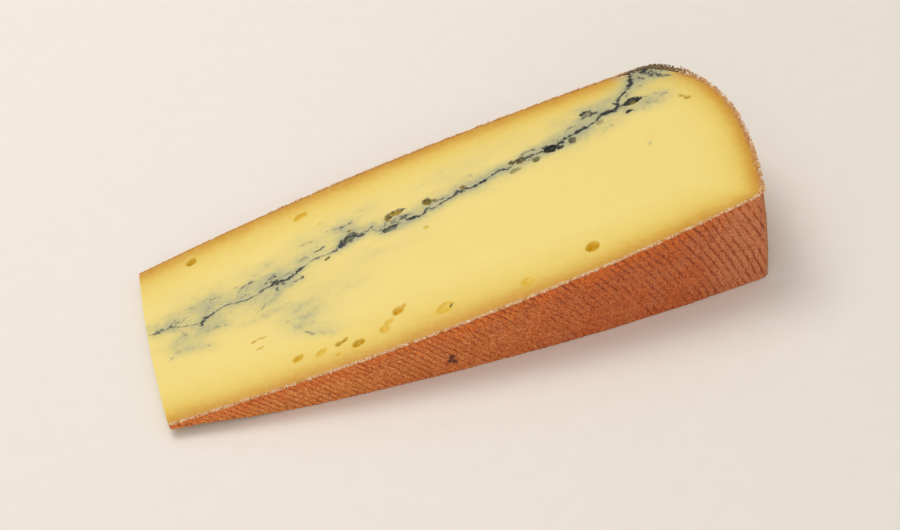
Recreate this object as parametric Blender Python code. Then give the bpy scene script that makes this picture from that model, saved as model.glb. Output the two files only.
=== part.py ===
"""A wedge of washed-rind cheese with a layer of ash through its paste. Metres, +Z up.

The wedge lies on one of its two knife cuts. +X runs from the thin tip, near the wheel's middle, to the rind
of the wheel's side. The wheel's two flat faces, which bulge a little, are the wedge's front (-Y) and back
(+Y), so the wheel's own axis runs along Y. The paste is in two halves with the ash layer between them.
"""
import math
from collections import namedtuple

import bmesh
import bpy
from mathutils import Matrix, Vector

MM = 0.001

# The cut faces, seen flat: distances from the tip along the radius, and across the wheel's thickness
REACH = 169.5 * MM  # tip to the furthest point of the wheel's side
CUT_ANGLE = math.radians(9.2)  # between the two knife cuts
TIP_HEIGHT = 3.6 * MM  # the knife met the first cut just short of a sharp edge
TIP_BOW = 0.85 * MM  # how far the tip's edge bows out, at a height across the wheel,
TIP_BOW_ACROSS = -8.0 * MM
TIP_BOW_SPAN = 28.0 * MM  # and how far to either side of that it is back at reach 0
SIDE_APEX = 1.0 * MM  # height across the wheel at which its side bulges furthest

# A flat face of the wheel: its half thickness at the tip, at its belly and at its corner with the side, the
# power by which the side falls back towards that corner, and the radius of the corner's rind
FACE_VALUES = "sign tip_half belly_reach belly_half corner_reach corner_half side_power corner_round"
Face = namedtuple("Face", FACE_VALUES)
FRONT = Face(-1, 30.8 * MM, 100 * MM, 37.0 * MM, 162.6 * MM, 33.8 * MM, 1.6, 2.5 * MM)
BACK = Face(1, 30.2 * MM, 85 * MM, 35.4 * MM, 158.5 * MM, 32.3 * MM, 2.5, 4.5 * MM)
FACE_STEPS, SIDE_STEPS, TIP_STEPS, SPIN_STEPS, ROUND_STEPS = 12, 8, 6, 3, 3

# The ash layer: reach and height across the wheel of the points that it passes on the upper cut
ASH_PATH = [
    (reach * MM, across * MM)
    for reach, across in (
        (-9, 5), (0, 4), (14, 1.5), (31, 3.8), (58, 9.8), (84, 10.2), (120, 14.6), (138, 19.2), (149, 29),
        (154, 44),
    )
]
ASH_THICKNESS = 1.2 * MM
PATH_STEPS = 4  # between two of those points
GAP = 0.3 * MM  # between touching pieces
CUTTER_BELOW, CUTTER_ABOVE = -10.0 * MM, 45.0 * MM
CUTTER_MARGIN = 60.0 * MM  # how far the cutters reach past the ash, beyond the wedge

# Eyes open on the upper cut, away from the ash: reach, height across, length, width, depth
EYES = [
    tuple(value * MM for value in eye)
    for eye in (
        (15.9, 26.3, 3.6, 2.6, 1.6),
        (36.1, -25.9, 4.2, 2.4, 0.9),
        (42.3, -27.0, 4.6, 2.2, 0.9),
        (48.2, -26.2, 4.0, 1.8, 1.2),
        (52.4, -29.0, 4.2, 2.6, 1.4),
        (60.3, -26.9, 4.8, 3.4, 0.8),
        (65.0, -22.9, 4.8, 2.8, 1.5),
        (76.0, -28.7, 6.0, 3.8, 1.3),
        (98.1, -31.2, 4.4, 3.2, 0.7),
        (117.1, -28.2, 4.8, 3.4, 2.0),
        (48.6, 27.2, 4.6, 2.2, 0.9),
    )
]
EYE_SEGMENTS, EYE_RINGS = 12, 8

PASTE_COLOUR = (0.86, 0.68, 0.24, 1)
RIND_COLOUR = (0.40, 0.10, 0.03, 1)
ASH_COLOUR = (0.03, 0.04, 0.04, 1)

# The two cuts would meet in a line across the wheel, this far beyond the tip
AXIS_BEYOND = TIP_HEIGHT / math.tan(CUT_ANGLE)


def on_upper_cut(reach):
    """x and z of the points of the upper cut at a reach from the tip."""
    from_axis = AXIS_BEYOND + reach
    return from_axis * math.cos(CUT_ANGLE) - AXIS_BEYOND, from_axis * math.sin(CUT_ANGLE)


def half_thickness(reach, face):
    """Half the wheel's thickness at a face: two parabolas that meet level at the belly."""
    if reach < face.belly_reach:
        return face.belly_half - (face.belly_half - face.tip_half) * (1 - reach / face.belly_reach) ** 2
    share = (reach - face.belly_reach) / (face.corner_reach - face.belly_reach)
    return face.belly_half - (face.belly_half - face.corner_half) * share**2


def tip_reach(across):
    """Reach of the tip's edge: a parabola that bows out."""
    return TIP_BOW * (((across - TIP_BOW_ACROSS) / TIP_BOW_SPAN) ** 2 - 1)


def face_line(face):
    """Points along a flat face, from the tip to its corner."""
    start = tip_reach(face.sign * face.tip_half)
    stations = [start + (face.corner_reach - start) * step / FACE_STEPS for step in range(FACE_STEPS + 1)]
    return [(reach, face.sign * half_thickness(reach, face)) for reach in stations]


def side_line(face):
    """Points of the wheel's side from its apex to just before a corner.

    The side falls back as a power of the way to the corner.
    """
    drop, rise = REACH - face.corner_reach, face.sign * face.corner_half - SIDE_APEX
    shares = [step / SIDE_STEPS for step in range(SIDE_STEPS)]
    return [(REACH - drop * share**face.side_power, SIDE_APEX + rise * share) for share in shares]


def tip_line():
    """Points of the tip's edge between its two corners, from the back to the front."""
    shares = [step / TIP_STEPS for step in range(1, TIP_STEPS)]
    heights = [BACK.tip_half - (BACK.tip_half + FRONT.tip_half) * share for share in shares]
    return [(tip_reach(across), across) for across in heights]


def outline():
    """The cut face's outline: front face, side from corner to corner through its apex, back face, tip."""
    side = side_line(FRONT)[::-1] + side_line(BACK)[1:]
    return face_line(FRONT) + side + face_line(BACK)[::-1] + tip_line()


def smooth_path(points):
    """Points on the Catmull-Rom curve through the inner points of a list."""
    found = []
    for before, start, end, after in zip(points, points[1:], points[2:], points[3:]):
        p, q, r, s = (Vector(point) for point in (before, start, end, after))
        for step in range(PATH_STEPS):
            t = step / PATH_STEPS
            bend = (2 * p - 5 * q + 4 * r - s) * t**2 + (3 * q - p - 3 * r + s) * t**3
            found.append((2 * q + (r - p) * t + bend) / 2)
    return [Vector(points[0]), *found, Vector(points[-2]), Vector(points[-1])]


def beside(path, distance):
    """A path moved sideways by a distance, towards the back where it's positive."""
    moved = []
    for number, point in enumerate(path):
        along = path[min(number + 1, len(path) - 1)] - path[max(number - 1, 0)]
        moved.append(point + Vector((-along.y, along.x)).normalized() * distance)
    return moved


def put_object(name, bm, collection, materials=()):
    """Makes a mesh object of bm, with its normals outwards, in a collection."""
    bmesh.ops.recalc_face_normals(bm, faces=bm.faces)
    mesh = bpy.data.meshes.new(name)
    bm.to_mesh(mesh)
    bm.free()
    for material in materials:
        mesh.materials.append(material)
    made = bpy.data.objects.new(name, mesh)
    collection.objects.link(made)
    return made


def put_cutter(name, bm, collection):
    """Makes a cutter of bm: a wire that the render and the build leave out."""
    cutter = put_object(name, bm, collection)
    cutter.hide_render = True
    cutter.display_type = "WIRE"
    return cutter


def principled(name, colour, roughness):
    """A plain Principled material."""
    material = bpy.data.materials.new(name)
    material.use_nodes = True
    shader = material.node_tree.nodes["Principled BSDF"]
    shader.inputs["Base Color"].default_value = colour
    shader.inputs["Roughness"].default_value = roughness
    material.diffuse_color = colour
    return material


def wedge_mesh():
    """The whole wedge: the outline spun from the lower cut to the upper one, its rind's corners rounded."""
    bm = bmesh.new()
    ring = [bm.verts.new((x, y, 0)) for x, y in outline()]
    edges = [bm.edges.new(pair) for pair in zip(ring, ring[1:] + ring[:1])]
    bmesh.ops.spin(
        bm, geom=ring + edges, cent=(-AXIS_BEYOND, 0, 0), axis=(0, 1, 0), dvec=(0, 0, 0), angle=-CUT_ANGLE,
        space=Matrix(), steps=SPIN_STEPS, use_duplicate=False,
    )
    bmesh.ops.holes_fill(bm, edges=bm.edges, sides=0)
    for face in (FRONT, BACK):
        corner = (face.corner_reach, face.sign * face.corner_half)
        upright = [edge for edge in bm.edges if at_corner(edge, *corner)]
        bmesh.ops.bevel(
            bm, geom=upright, offset=face.corner_round, segments=ROUND_STEPS, profile=0.5, affect="EDGES",
            clamp_overlap=True,
        )
    bmesh.ops.triangulate(bm, faces=bm.faces)
    return bm


def at_corner(edge, reach, across):
    """Says whether both ends of an edge stand at a corner of the outline, at any turn of the spin."""
    near = 0.01 * MM
    for vert in edge.verts:
        from_axis = math.hypot(vert.co.x + AXIS_BEYOND, vert.co.z)
        if abs(from_axis - AXIS_BEYOND - reach) > near or abs(vert.co.y - across) > near:
            return False
    return True


def prism(name, points, collection):
    """An upright cutter with an outline of points."""
    bm = bmesh.new()
    base = bm.faces.new([bm.verts.new((point.x, point.y, CUTTER_BELOW)) for point in points])
    grown = bmesh.ops.extrude_face_region(bm, geom=[base])["geom"]
    raised = [item for item in grown if isinstance(item, bmesh.types.BMVert)]
    bmesh.ops.translate(bm, verts=raised, vec=(0, 0, CUTTER_ABOVE - CUTTER_BELOW))
    return put_cutter(name, bm, collection)


def eye_cutters(collection):
    """Ellipsoids centred on the upper cut, one for each eye."""
    bm = bmesh.new()
    for reach, across, length, width, depth in EYES:
        x, z = on_upper_cut(reach)
        place = Matrix.Translation((x, across, z)) @ Matrix.Rotation(-CUT_ANGLE, 4, "Y")
        size = Matrix.Diagonal((length / 2, width / 2, depth, 1))
        bmesh.ops.create_uvsphere(
            bm, u_segments=EYE_SEGMENTS, v_segments=EYE_RINGS, radius=1, matrix=place @ size,
        )
    return put_cutter("eye_cutters", bm, collection)


def cut(piece, cutter, operation):
    """Adds an exact Boolean of a piece with a cutter."""
    modifier = piece.modifiers.new(f"{operation.lower()} {cutter.name}", "BOOLEAN")
    modifier.operation = operation
    modifier.object = cutter
    modifier.solver = "EXACT"


def paint_rind(mesh):
    """Gives the second material to faces of the rind: all but the flat cuts and the tip."""
    lower, upper = Vector((0, 0, -1)), Vector((-math.sin(CUT_ANGLE), 0, math.cos(CUT_ANGLE)))
    for face in mesh.polygons:
        is_cut = max(face.normal.dot(lower), face.normal.dot(upper)) > 0.999 or face.normal.x < -0.7
        face.material_index = 0 if is_cut else 1


def main():
    """Builds the three pieces in their own collection, stood with the middle of their base at the origin."""
    for old in list(bpy.data.objects):
        bpy.data.objects.remove(old, do_unlink=True)
    parts = bpy.data.collections.new("morbier_wedge")
    cutters = bpy.data.collections.new("cutters")
    for collection in (parts, cutters):
        bpy.context.scene.collection.children.link(collection)

    paste = principled("paste", PASTE_COLOUR, 0.45)
    rind = principled("rind", RIND_COLOUR, 0.8)
    ash = principled("ash", ASH_COLOUR, 0.7)

    path = smooth_path([(on_upper_cut(reach)[0], across) for reach, across in ASH_PATH])
    paste_edge = ASH_THICKNESS / 2 + GAP
    near_tip, near_side, beyond_side = path[0].x, path[-1].x, path[-1].x + CUTTER_MARGIN
    far_front = [
        Vector((beyond_side, path[-1].y)),
        Vector((beyond_side, -CUTTER_MARGIN)),
        Vector((near_tip, -CUTTER_MARGIN)),
    ]
    far_back = [Vector((near_tip, CUTTER_MARGIN)), Vector((near_side, CUTTER_MARGIN))]
    front_cutter = prism("front_cutter", beside(path, -paste_edge) + far_front, cutters)
    back_cutter = prism("back_cutter", beside(path, paste_edge)[::-1] + far_back, cutters)
    ash_outline = beside(path, ASH_THICKNESS / 2) + beside(path, -ASH_THICKNESS / 2)[::-1]
    ash_cutter = prism("ash_cutter", ash_outline, cutters)
    eyes = eye_cutters(cutters)

    for name, cutter, with_eyes, materials in (
        ("paste_front", front_cutter, True, (paste, rind)),
        ("paste_back", back_cutter, True, (paste, rind)),
        ("ash_layer", ash_cutter, False, (ash,)),
    ):
        piece = put_object(name, wedge_mesh(), parts, materials)
        if len(materials) > 1:
            paint_rind(piece.data)
        cut(piece, cutter, "INTERSECT")
        if with_eyes:
            cut(piece, eyes, "DIFFERENCE")

    # The origin: under the middle of the whole wedge's box
    reaches, heights = zip(*outline())
    nearest, furthest = on_upper_cut(min(reaches))[0], max(reaches)
    middle = Vector(((nearest + furthest) / 2, (min(heights) + max(heights)) / 2, 0))
    for each in (*parts.objects, *cutters.objects):
        each.location = -middle


main()
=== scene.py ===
# %% [markdown]
# # A wedge of washed-rind cheese with a line of ash
#
# This lesson dresses a plain solid wedge as the real thing: a waxy yellow paste in two halves, a thin crooked
# layer of ash between them, and a ridged orange rind that the knife has torn into a pale fringe. We start
# from the frame, the solids whose place and size are settled. Everything that we add sits in the same space,
# so nothing is fitted afterwards.

# %% The frame, and the box that everything stays in
import math
from collections import namedtuple

import bpy
import numpy as np
from mathutils import Matrix, Vector


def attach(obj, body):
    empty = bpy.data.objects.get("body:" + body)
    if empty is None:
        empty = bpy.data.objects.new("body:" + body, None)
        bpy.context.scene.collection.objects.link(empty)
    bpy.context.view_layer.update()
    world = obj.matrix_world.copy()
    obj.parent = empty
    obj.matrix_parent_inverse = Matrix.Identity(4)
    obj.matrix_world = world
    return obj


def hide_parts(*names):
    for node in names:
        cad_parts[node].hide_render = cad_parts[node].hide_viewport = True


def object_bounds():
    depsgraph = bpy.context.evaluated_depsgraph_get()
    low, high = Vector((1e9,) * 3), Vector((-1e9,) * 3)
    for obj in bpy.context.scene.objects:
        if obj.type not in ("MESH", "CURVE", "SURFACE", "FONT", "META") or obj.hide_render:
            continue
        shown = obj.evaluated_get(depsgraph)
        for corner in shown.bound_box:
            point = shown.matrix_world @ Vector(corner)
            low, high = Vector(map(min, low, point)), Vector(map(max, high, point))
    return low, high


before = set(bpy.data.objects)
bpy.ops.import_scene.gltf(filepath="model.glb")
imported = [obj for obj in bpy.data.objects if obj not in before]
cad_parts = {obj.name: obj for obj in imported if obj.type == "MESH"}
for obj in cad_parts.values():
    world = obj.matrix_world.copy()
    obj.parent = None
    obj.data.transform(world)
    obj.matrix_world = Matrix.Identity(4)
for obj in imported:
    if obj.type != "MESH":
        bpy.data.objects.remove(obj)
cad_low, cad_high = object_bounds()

print("frame:", sorted(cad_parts), "from", tuple(cad_low), "to", tuple(cad_high))

# %% [markdown]
# ## The wedge's own coordinates
#
# A wedge of a wheel has natural coordinates. *Reach* is the distance from the tip towards the wheel's side,
# *across* is the height through the wheel from its front face (-) to its back face (+), and *turn* runs from
# 0 on the lower knife cut to 1 on the upper one. We could work in x, y and z, but then the rind, which turns
# with the wheel, would need a new formula on each side. In reach, across and turn every piece is one simple
# block, and one function, `place`, bends it into the wedge. All shapes are worked out in millimetres.

# %% Driving dimensions, in millimetres
MM = 0.001
REACH = 169.5  # tip to the furthest point of the wheel's side
CUT_ANGLE = math.radians(9.2)  # between the two knife cuts
TIP_HEIGHT = 3.6
TIP_CURL = 1.7  # the thin tip has dried, so its lower edge curls up by this much
CURL_FROM, CURL_TO = 34.0, 4.0  # the curl begins at the first reach and is full at the second
TIP_BOW, TIP_BOW_ACROSS, TIP_BOW_SPAN = 0.85, -8.0, 28.0  # the tip bows out: how far, where, how widely
SIDE_APEX = 1.0  # height across the wheel at which its side bulges furthest

# A flat face of the wheel: its half thickness at the tip, at its belly and at its corner with the side, the
# power by which the side falls back towards that corner, and the radius of the corner's rind
FACE_VALUES = "sign tip_half belly_reach belly_half corner_reach corner_half side_power corner_round"
Face = namedtuple("Face", FACE_VALUES)
FRONT = Face(-1, 30.8, 100.0, 37.0, 162.6, 33.8, 1.6, 2.5)
BACK = Face(1, 30.2, 85.0, 35.4, 158.5, 32.3, 2.5, 4.5)
AXIS_BEYOND = TIP_HEIGHT / math.tan(CUT_ANGLE)  # the wheel's axis lies this far beyond the tip
TIP_X = cad_high.x / MM - REACH
CENTRE_Y = cad_high.y / MM - BACK.belly_half  # the wheel's middle plane, off the middle of the box
print(f"the tip is at x = {TIP_X:.2f} mm and the wheel's axis {AXIS_BEYOND:.1f} mm beyond it")


# %% Two curves that we use everywhere
def rise(value, low, high):
    """0 below low, 1 above high, and 3t^2 - 2t^3 in between. It falls instead where low is above high."""
    t = np.clip((value - low) / (high - low), 0, 1)
    return t * t * (3 - 2 * t)


def bell(distance, size):
    """exp(-(distance / size)^2): 1 in the middle, 0.37 one size away from it."""
    return np.exp(-((distance / size) ** 2))


print("a rise at its middle is", rise(0.5, 0, 1), "and a bell one size out", round(bell(1.0, 1.0), 2))


# %% From reach, across and turn to a point in space
def place(reach, across, turn, lift=0.0):
    """Points in mm: reach spun about the wheel's axis by turn x CUT_ANGLE, lifted along the cut's normal.

    x = (axis + reach) cos a - axis - lift sin a,  y = across,  z = (axis + reach) sin a + lift cos a. The
    frame's origin is the middle of the solid's box, so x and y are shifted by TIP_X and CENTRE_Y. The lower
    cut rises by TIP_CURL towards the tip, the upper cut not at all.
    """
    curl = TIP_CURL * rise(reach, CURL_FROM, CURL_TO) * (1 - turn)
    angle = turn * CUT_ANGLE
    radius = AXIS_BEYOND + reach
    x = TIP_X - AXIS_BEYOND + radius * np.cos(angle) - lift * np.sin(angle)
    z = radius * np.sin(angle) + lift * np.cos(angle) + curl
    return np.stack(np.broadcast_arrays(x, across + CENTRE_Y, z), axis=-1)


print("the far top edge is", place(REACH, SIDE_APEX, 1.0).round(2), "mm")

# %% [markdown]
# ## Noise, lines and distances
#
# Food is never regular, so most shapes take a little noise. Ours is the plainest kind: random numbers on the
# corners of a grid, blended smoothly in between. The other two helpers walk along a line at even steps and
# measure how far every point of a surface is from a line. With those three we can draw veins, ridges and
# stains as whole arrays.

# %% Noise
LATTICE = 128  # the random grid repeats after this many cells


def noise(first, second, seed, octaves=1):
    """Smooth noise of about -1 to 1: random lattice values, blended by 3t^2 - 2t^3, each octave finer."""
    values = np.random.default_rng(seed).uniform(-1, 1, (LATTICE, LATTICE))
    total = np.zeros(np.broadcast(first, second).shape)
    for octave in range(octaves):
        scale = 2**octave
        u, v = np.asarray(first) * scale + 7.3 * octave, np.asarray(second) * scale + 3.1 * octave
        column, row = np.floor(u).astype(int), np.floor(v).astype(int)
        s, t = u - column, v - row
        s, t = s * s * (3 - 2 * s), t * t * (3 - 2 * t)
        column, row = column % LATTICE, row % LATTICE
        right, above = (column + 1) % LATTICE, (row + 1) % LATTICE
        below_row = values[column, row] * (1 - s) + values[right, row] * s
        above_row = values[column, above] * (1 - s) + values[right, above] * s
        total += (below_row * (1 - t) + above_row * t) / scale
    return total


sample = noise(np.linspace(0, 40, 400), 0.5, 1, octaves=3)
print(f"noise runs from {sample.min():.2f} to {sample.max():.2f}")


# %% Lines: even steps along one, and distances from one
def along_line(line, shares):
    """The line's points again, at the given shares (0-1) of its length."""
    gone = np.concatenate([[0], np.cumsum(np.hypot(*np.diff(line, axis=0).T))])
    wanted = shares * gone[-1]
    return np.stack([np.interp(wanted, gone, line[:, 0]), np.interp(wanted, gone, line[:, 1])], axis=1)


def even_steps(line, count):
    """The line's points again, at count + 1 places that are evenly spaced along its length."""
    return along_line(line, np.linspace(0, 1, count + 1))


def left_of(line):
    """Unit vectors that point to the left of a line's direction of travel, one for each point."""
    ahead = np.gradient(line, axis=0)
    ahead /= np.hypot(*ahead.T)[:, None]
    return np.stack([-ahead[:, 1], ahead[:, 0]], axis=1)


def line_distance(reach, across, line):
    """How far each point is from the nearest of the line's pieces, and how far along that place is (0-1).

    For each piece, t = (point - start).(end - start) / |end - start|^2, held to 0-1, gives that place.
    """
    nearest, share = np.full(reach.shape, np.inf), np.zeros(reach.shape)
    for number, (start, end) in enumerate(zip(line, line[1:])):
        step = end - start
        t = np.clip(((reach - start[0]) * step[0] + (across - start[1]) * step[1]) / (step @ step), 0, 1)
        gap = np.hypot(reach - start[0] - t * step[0], across - start[1] - t * step[1])
        share = np.where(gap < nearest, (number + t) / (len(line) - 1), share)
        nearest = np.minimum(gap, nearest)
    return nearest, share


diagonal = even_steps(np.array([[0.0, 0.0], [3.0, 4.0]]), 5)
print("five even steps along a 3-4-5 line end at", diagonal[-1])

# %% [markdown]
# ## The outline of the cut
#
# Seen flat, the cut has a straight tip, two slightly bulging faces, and the curved side of the wheel. We
# could trace it point by point. Parabolas are better: they need only the few sizes above, and they give the
# same outline as the solid. The two corners, where a face meets the side, are rounded by a quadratic curve.


# %% Faces, side and tip
def half_thickness(reach, face):
    """Half the wheel's thickness: one parabola from the belly to the tip, one from the belly to a corner."""
    to_tip = np.clip(1 - reach / face.belly_reach, 0, None)
    to_corner = np.clip((reach - face.belly_reach) / (face.corner_reach - face.belly_reach), 0, None)
    tip_drop, corner_drop = face.belly_half - face.tip_half, face.belly_half - face.corner_half
    return face.belly_half - tip_drop * to_tip**2 - corner_drop * to_corner**2


def side_reach(across):
    """Reach of the wheel's side: from the apex it falls back as a power of the way to a corner."""
    reach = REACH
    for face in (FRONT, BACK):
        share = np.clip((across - SIDE_APEX) / (face.sign * face.corner_half - SIDE_APEX), 0, None)
        reach = reach - (REACH - face.corner_reach) * share**face.side_power
    return reach


def tip_reach(across):
    """Reach of the tip's edge: a parabola that bows out."""
    return TIP_BOW * (((across - TIP_BOW_ACROSS) / TIP_BOW_SPAN) ** 2 - 1)


def face_line(face):
    """Points along a flat face, from the tip to the side."""
    reach = np.linspace(tip_reach(face.sign * face.tip_half), face.corner_reach, 400)
    return np.stack([reach, face.sign * half_thickness(reach, face)], axis=1)


print(f"60 mm from the tip the front face lies {half_thickness(60.0, FRONT):.1f} mm off the middle")


# %% Rounding a corner, and finding a point
def join_round(before, after, radius):
    """Joins two lines at their shared corner C by (1-t)^2 A + 2t(1-t) C + t^2 B, A and B a radius away."""
    corner = before[-1]
    start = before[np.hypot(*(before - corner).T) >= radius]
    end = after[np.hypot(*(after - corner).T) >= radius]
    t = np.linspace(0, 1, 14)[1:-1, None]
    curve = (1 - t) ** 2 * start[-1] + 2 * t * (1 - t) * corner + t**2 * end[0]
    return np.concatenate([start, curve, end])


def nearest(line, reach, across):
    """The number of a line's point that is nearest to a place."""
    return int(np.argmin(np.hypot(line[:, 0] - reach, line[:, 1] - across)))


print("the diagonal's point nearest to its end is number", nearest(diagonal, 3.0, 4.0))

# %% The whole outline, from the tip's front to the tip's back
FRONT_COLUMNS, SIDE_COLUMNS, BACK_COLUMNS = 620, 190, 300  # finest where it shows most
side_across = np.linspace(-FRONT.corner_half, BACK.corner_half, 300)
side_line = np.stack([side_reach(side_across), side_across], axis=1)
outline = join_round(face_line(FRONT), side_line, FRONT.corner_round)
outline = join_round(outline, face_line(BACK)[::-1], BACK.corner_round)
turning = [nearest(outline, face.corner_reach, face.sign * face.corner_half) for face in (FRONT, BACK)]
outer = np.concatenate([
    even_steps(outline[: turning[0] + 1], FRONT_COLUMNS),
    even_steps(outline[turning[0] : turning[1] + 1], SIDE_COLUMNS)[1:],
    even_steps(outline[turning[1] :], BACK_COLUMNS)[1:],
])
corners = (FRONT_COLUMNS, FRONT_COLUMNS + SIDE_COLUMNS)
outward = -left_of(outer)
travelled = np.concatenate([[0], np.cumsum(np.hypot(*np.diff(outer, axis=0).T))])
on_side = rise(np.abs(outward[:, 0]), 0.35, 0.8)  # 0 on the flat faces, 1 round the wheel's side
on_front = rise(-outer[:, 1], 0.0, 30.0)

FACE_RIND, SIDE_RIND = 0.5, 0.8  # how thick the rind is
CORNER_RIND, CORNER_SPAN = 1.2, 7.0  # how much thicker it is at the back corner, and over what length
BACK_CORNER = (160.5, 30.5)
at_back_corner = bell(travelled - travelled[nearest(outer, *BACK_CORNER)], CORNER_SPAN)
thickness = FACE_RIND + (SIDE_RIND - FACE_RIND) * on_side + CORNER_RIND * at_back_corner
inner = outer - thickness[:, None] * outward
print(f"the rind is {travelled[-1]:.0f} mm long, in {len(outer) - 1} steps")

# %% [markdown]
# ## The ash layer's line
#
# The maker spreads a film of ash over the morning's curd before the evening's curd goes on top. Pressing
# crumples it, so where the knife cuts through, it shows as a thin crooked line that thickens into dark clots.
# The line is the one thing here that no formula gives, so its bends are a short list. A
# Catmull-Rom curve runs through them, and a little noise roughens it.


# %% Bends of the ash line: reach and across, on the upper cut
def smooth_line(points, steps):
    """The Catmull-Rom curve: each cubic piece leaves a point along the line through its neighbours."""
    points = np.asarray(points, float)
    padded = np.concatenate([2 * points[:1] - points[1:2], points, 2 * points[-1:] - points[-2:-1]])
    p, q, r, s = (padded[n : n + len(points) - 1, None] for n in range(4))
    t = np.linspace(0, 1, steps, endpoint=False)[None, :, None]
    curve = q + (r - p) * t / 2 + (2 * p - 5 * q + 4 * r - s) * t**2 / 2 + (3 * q - p - 3 * r + s) * t**3 / 2
    return np.concatenate([curve.reshape(-1, 2), points[-1:]])


ASH_BENDS = (
    (-0.2, 4.3), (1.7, 3.9), (3.9, 3.6), (6.4, 3.9), (7.9, 2.8), (10.5, 2.0), (13.1, 1.3), (14.6, 0.9),
    (15.5, 1.9), (18.1, 2.9), (20.2, 3.7), (22.5, 3.8), (26.0, 3.2), (29.1, 3.0), (32.7, 4.1),
    (36.9, 4.8), (39.4, 4.4), (42.6, 5.6), (46.6, 7.4), (48.7, 8.0), (53.8, 8.1), (57.7, 9.6),
    (60.2, 10.7), (63.6, 10.8), (66.3, 10.6), (67.8, 9.0), (71.6, 8.5), (74.2, 9.8), (75.6, 10.3),
    (76.9, 8.8), (80.3, 8.6), (82.0, 9.9), (84.2, 9.5), (88.3, 10.5), (90.6, 11.0), (92.9, 11.9),
    (96.9, 11.6), (100.3, 12.1), (103.9, 13.3), (107.8, 13.1), (112.9, 14.4), (117.4, 14.5),
    (121.5, 14.2), (125.2, 15.8), (129.3, 16.5), (132.3, 16.9), (135.5, 18.1), (137.9, 19.7),
    (141.1, 19.1), (142.9, 20.6), (143.6, 22.4), (146.4, 24.8), (148.2, 26.1), (149.8, 27.4),
    (149.9, 29.2), (150.8, 31.3), (151.0, 33.5),
)
ASH_STEPS = 520
ASH_WOBBLE, WOBBLE_COUNT = 0.13, 150  # mm of roughness, and how many of its waves the line has
ash_line = even_steps(smooth_line(ASH_BENDS, 12), ASH_STEPS)
ash_travel = np.linspace(0, 1, ASH_STEPS + 1)
wobble = noise(ash_travel * WOBBLE_COUNT, 0.5, 2, octaves=2)[:, None]
ash_line = ash_line + left_of(ash_line) * wobble * ASH_WOBBLE
ash_length = np.hypot(*np.diff(ash_line, axis=0).T).sum()
print(f"the ash line is {ash_length:.0f} mm long through {len(ASH_BENDS)} bends")

# %% How dark and how wide the ash is along its line: reach, darkness (0-1) and width in mm
ASH_BODY = (
    (0, 0.35, 0.5), (1.2, 0.45, 0.8), (2.6, 0.6, 0.9), (4.6, 0.3, 0.5), (6.4, 0.6, 0.8), (8.5, 0.45, 0.4),
    (13, 0.6, 0.35), (14.6, 0.95, 0.8), (17.5, 0.9, 0.5), (21, 0.8, 0.35), (26, 0.65, 0.3),
    (30, 0.8, 0.4), (34, 0.75, 0.45), (36, 1, 1.1), (38, 1, 1.3), (40, 0.85, 0.7), (42.5, 0.9, 0.8),
    (44, 0.8, 0.6), (46, 0.55, 0.35), (50, 0.6, 0.4), (54, 0.6, 0.35), (55.8, 0.9, 0.8), (57.4, 1, 1.3),
    (59.6, 1, 1.3), (61.6, 0.95, 1.0), (63, 0.5, 0.35), (67, 0.45, 0.3), (69, 0.75, 0.6), (71, 0.65, 0.5),
    (74, 0.6, 0.5), (76.3, 0.9, 0.7), (79.5, 0.95, 0.6), (82.5, 0.8, 0.4), (84, 0.85, 0.6),
    (87, 0.65, 0.35), (90.5, 0.8, 0.5), (92.2, 1, 1.1), (94.2, 1, 1.4), (96, 0.95, 0.9), (98.5, 1, 0.9),
    (101, 0.9, 0.7), (103, 0.75, 0.45), (106, 0.7, 0.5), (109, 0.4, 0.5), (113, 0.6, 0.5),
    (117, 0.8, 0.6), (120.3, 1, 1.4), (123, 0.95, 0.8), (126, 1, 0.7), (129.5, 1, 1.0), (131.5, 1, 0.8),
    (133, 0.8, 0.4), (136.5, 0.85, 0.45), (138.5, 1, 1.1), (141, 1, 1.0), (143, 1, 0.7), (148.5, 1, 0.6),
    (150.3, 1, 0.8), (152, 1, 1.1),
)
body_reach, body_darkness, body_width = (np.array(column) for column in zip(*ASH_BODY))
ash_darkness = np.interp(ash_line[:, 0], body_reach, body_darkness)
ash_width = np.interp(ash_line[:, 0], body_reach, body_width)
print(f"the line's mean darkness is {ash_darkness.mean():.2f} and its mean width {ash_width.mean():.2f} mm")

# %% [markdown]
# ## Marks in the paste
#
# Beside the line the cut shows short veins where ash ran between crumbs of curd, and the paste around them is
# stained a soft grey-green. A vein could be a tiny piece of its own, but it has no thickness to speak of and
# it fades at its edges. So it is colour, stored on the surface: each vein is a line of a few points with a
# darkness and a width, each stain an ellipse, and every point of the surface adds up what it gets from all of
# them. To keep them from looking drawn, the place that asks is first shifted a little by noise.

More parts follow.
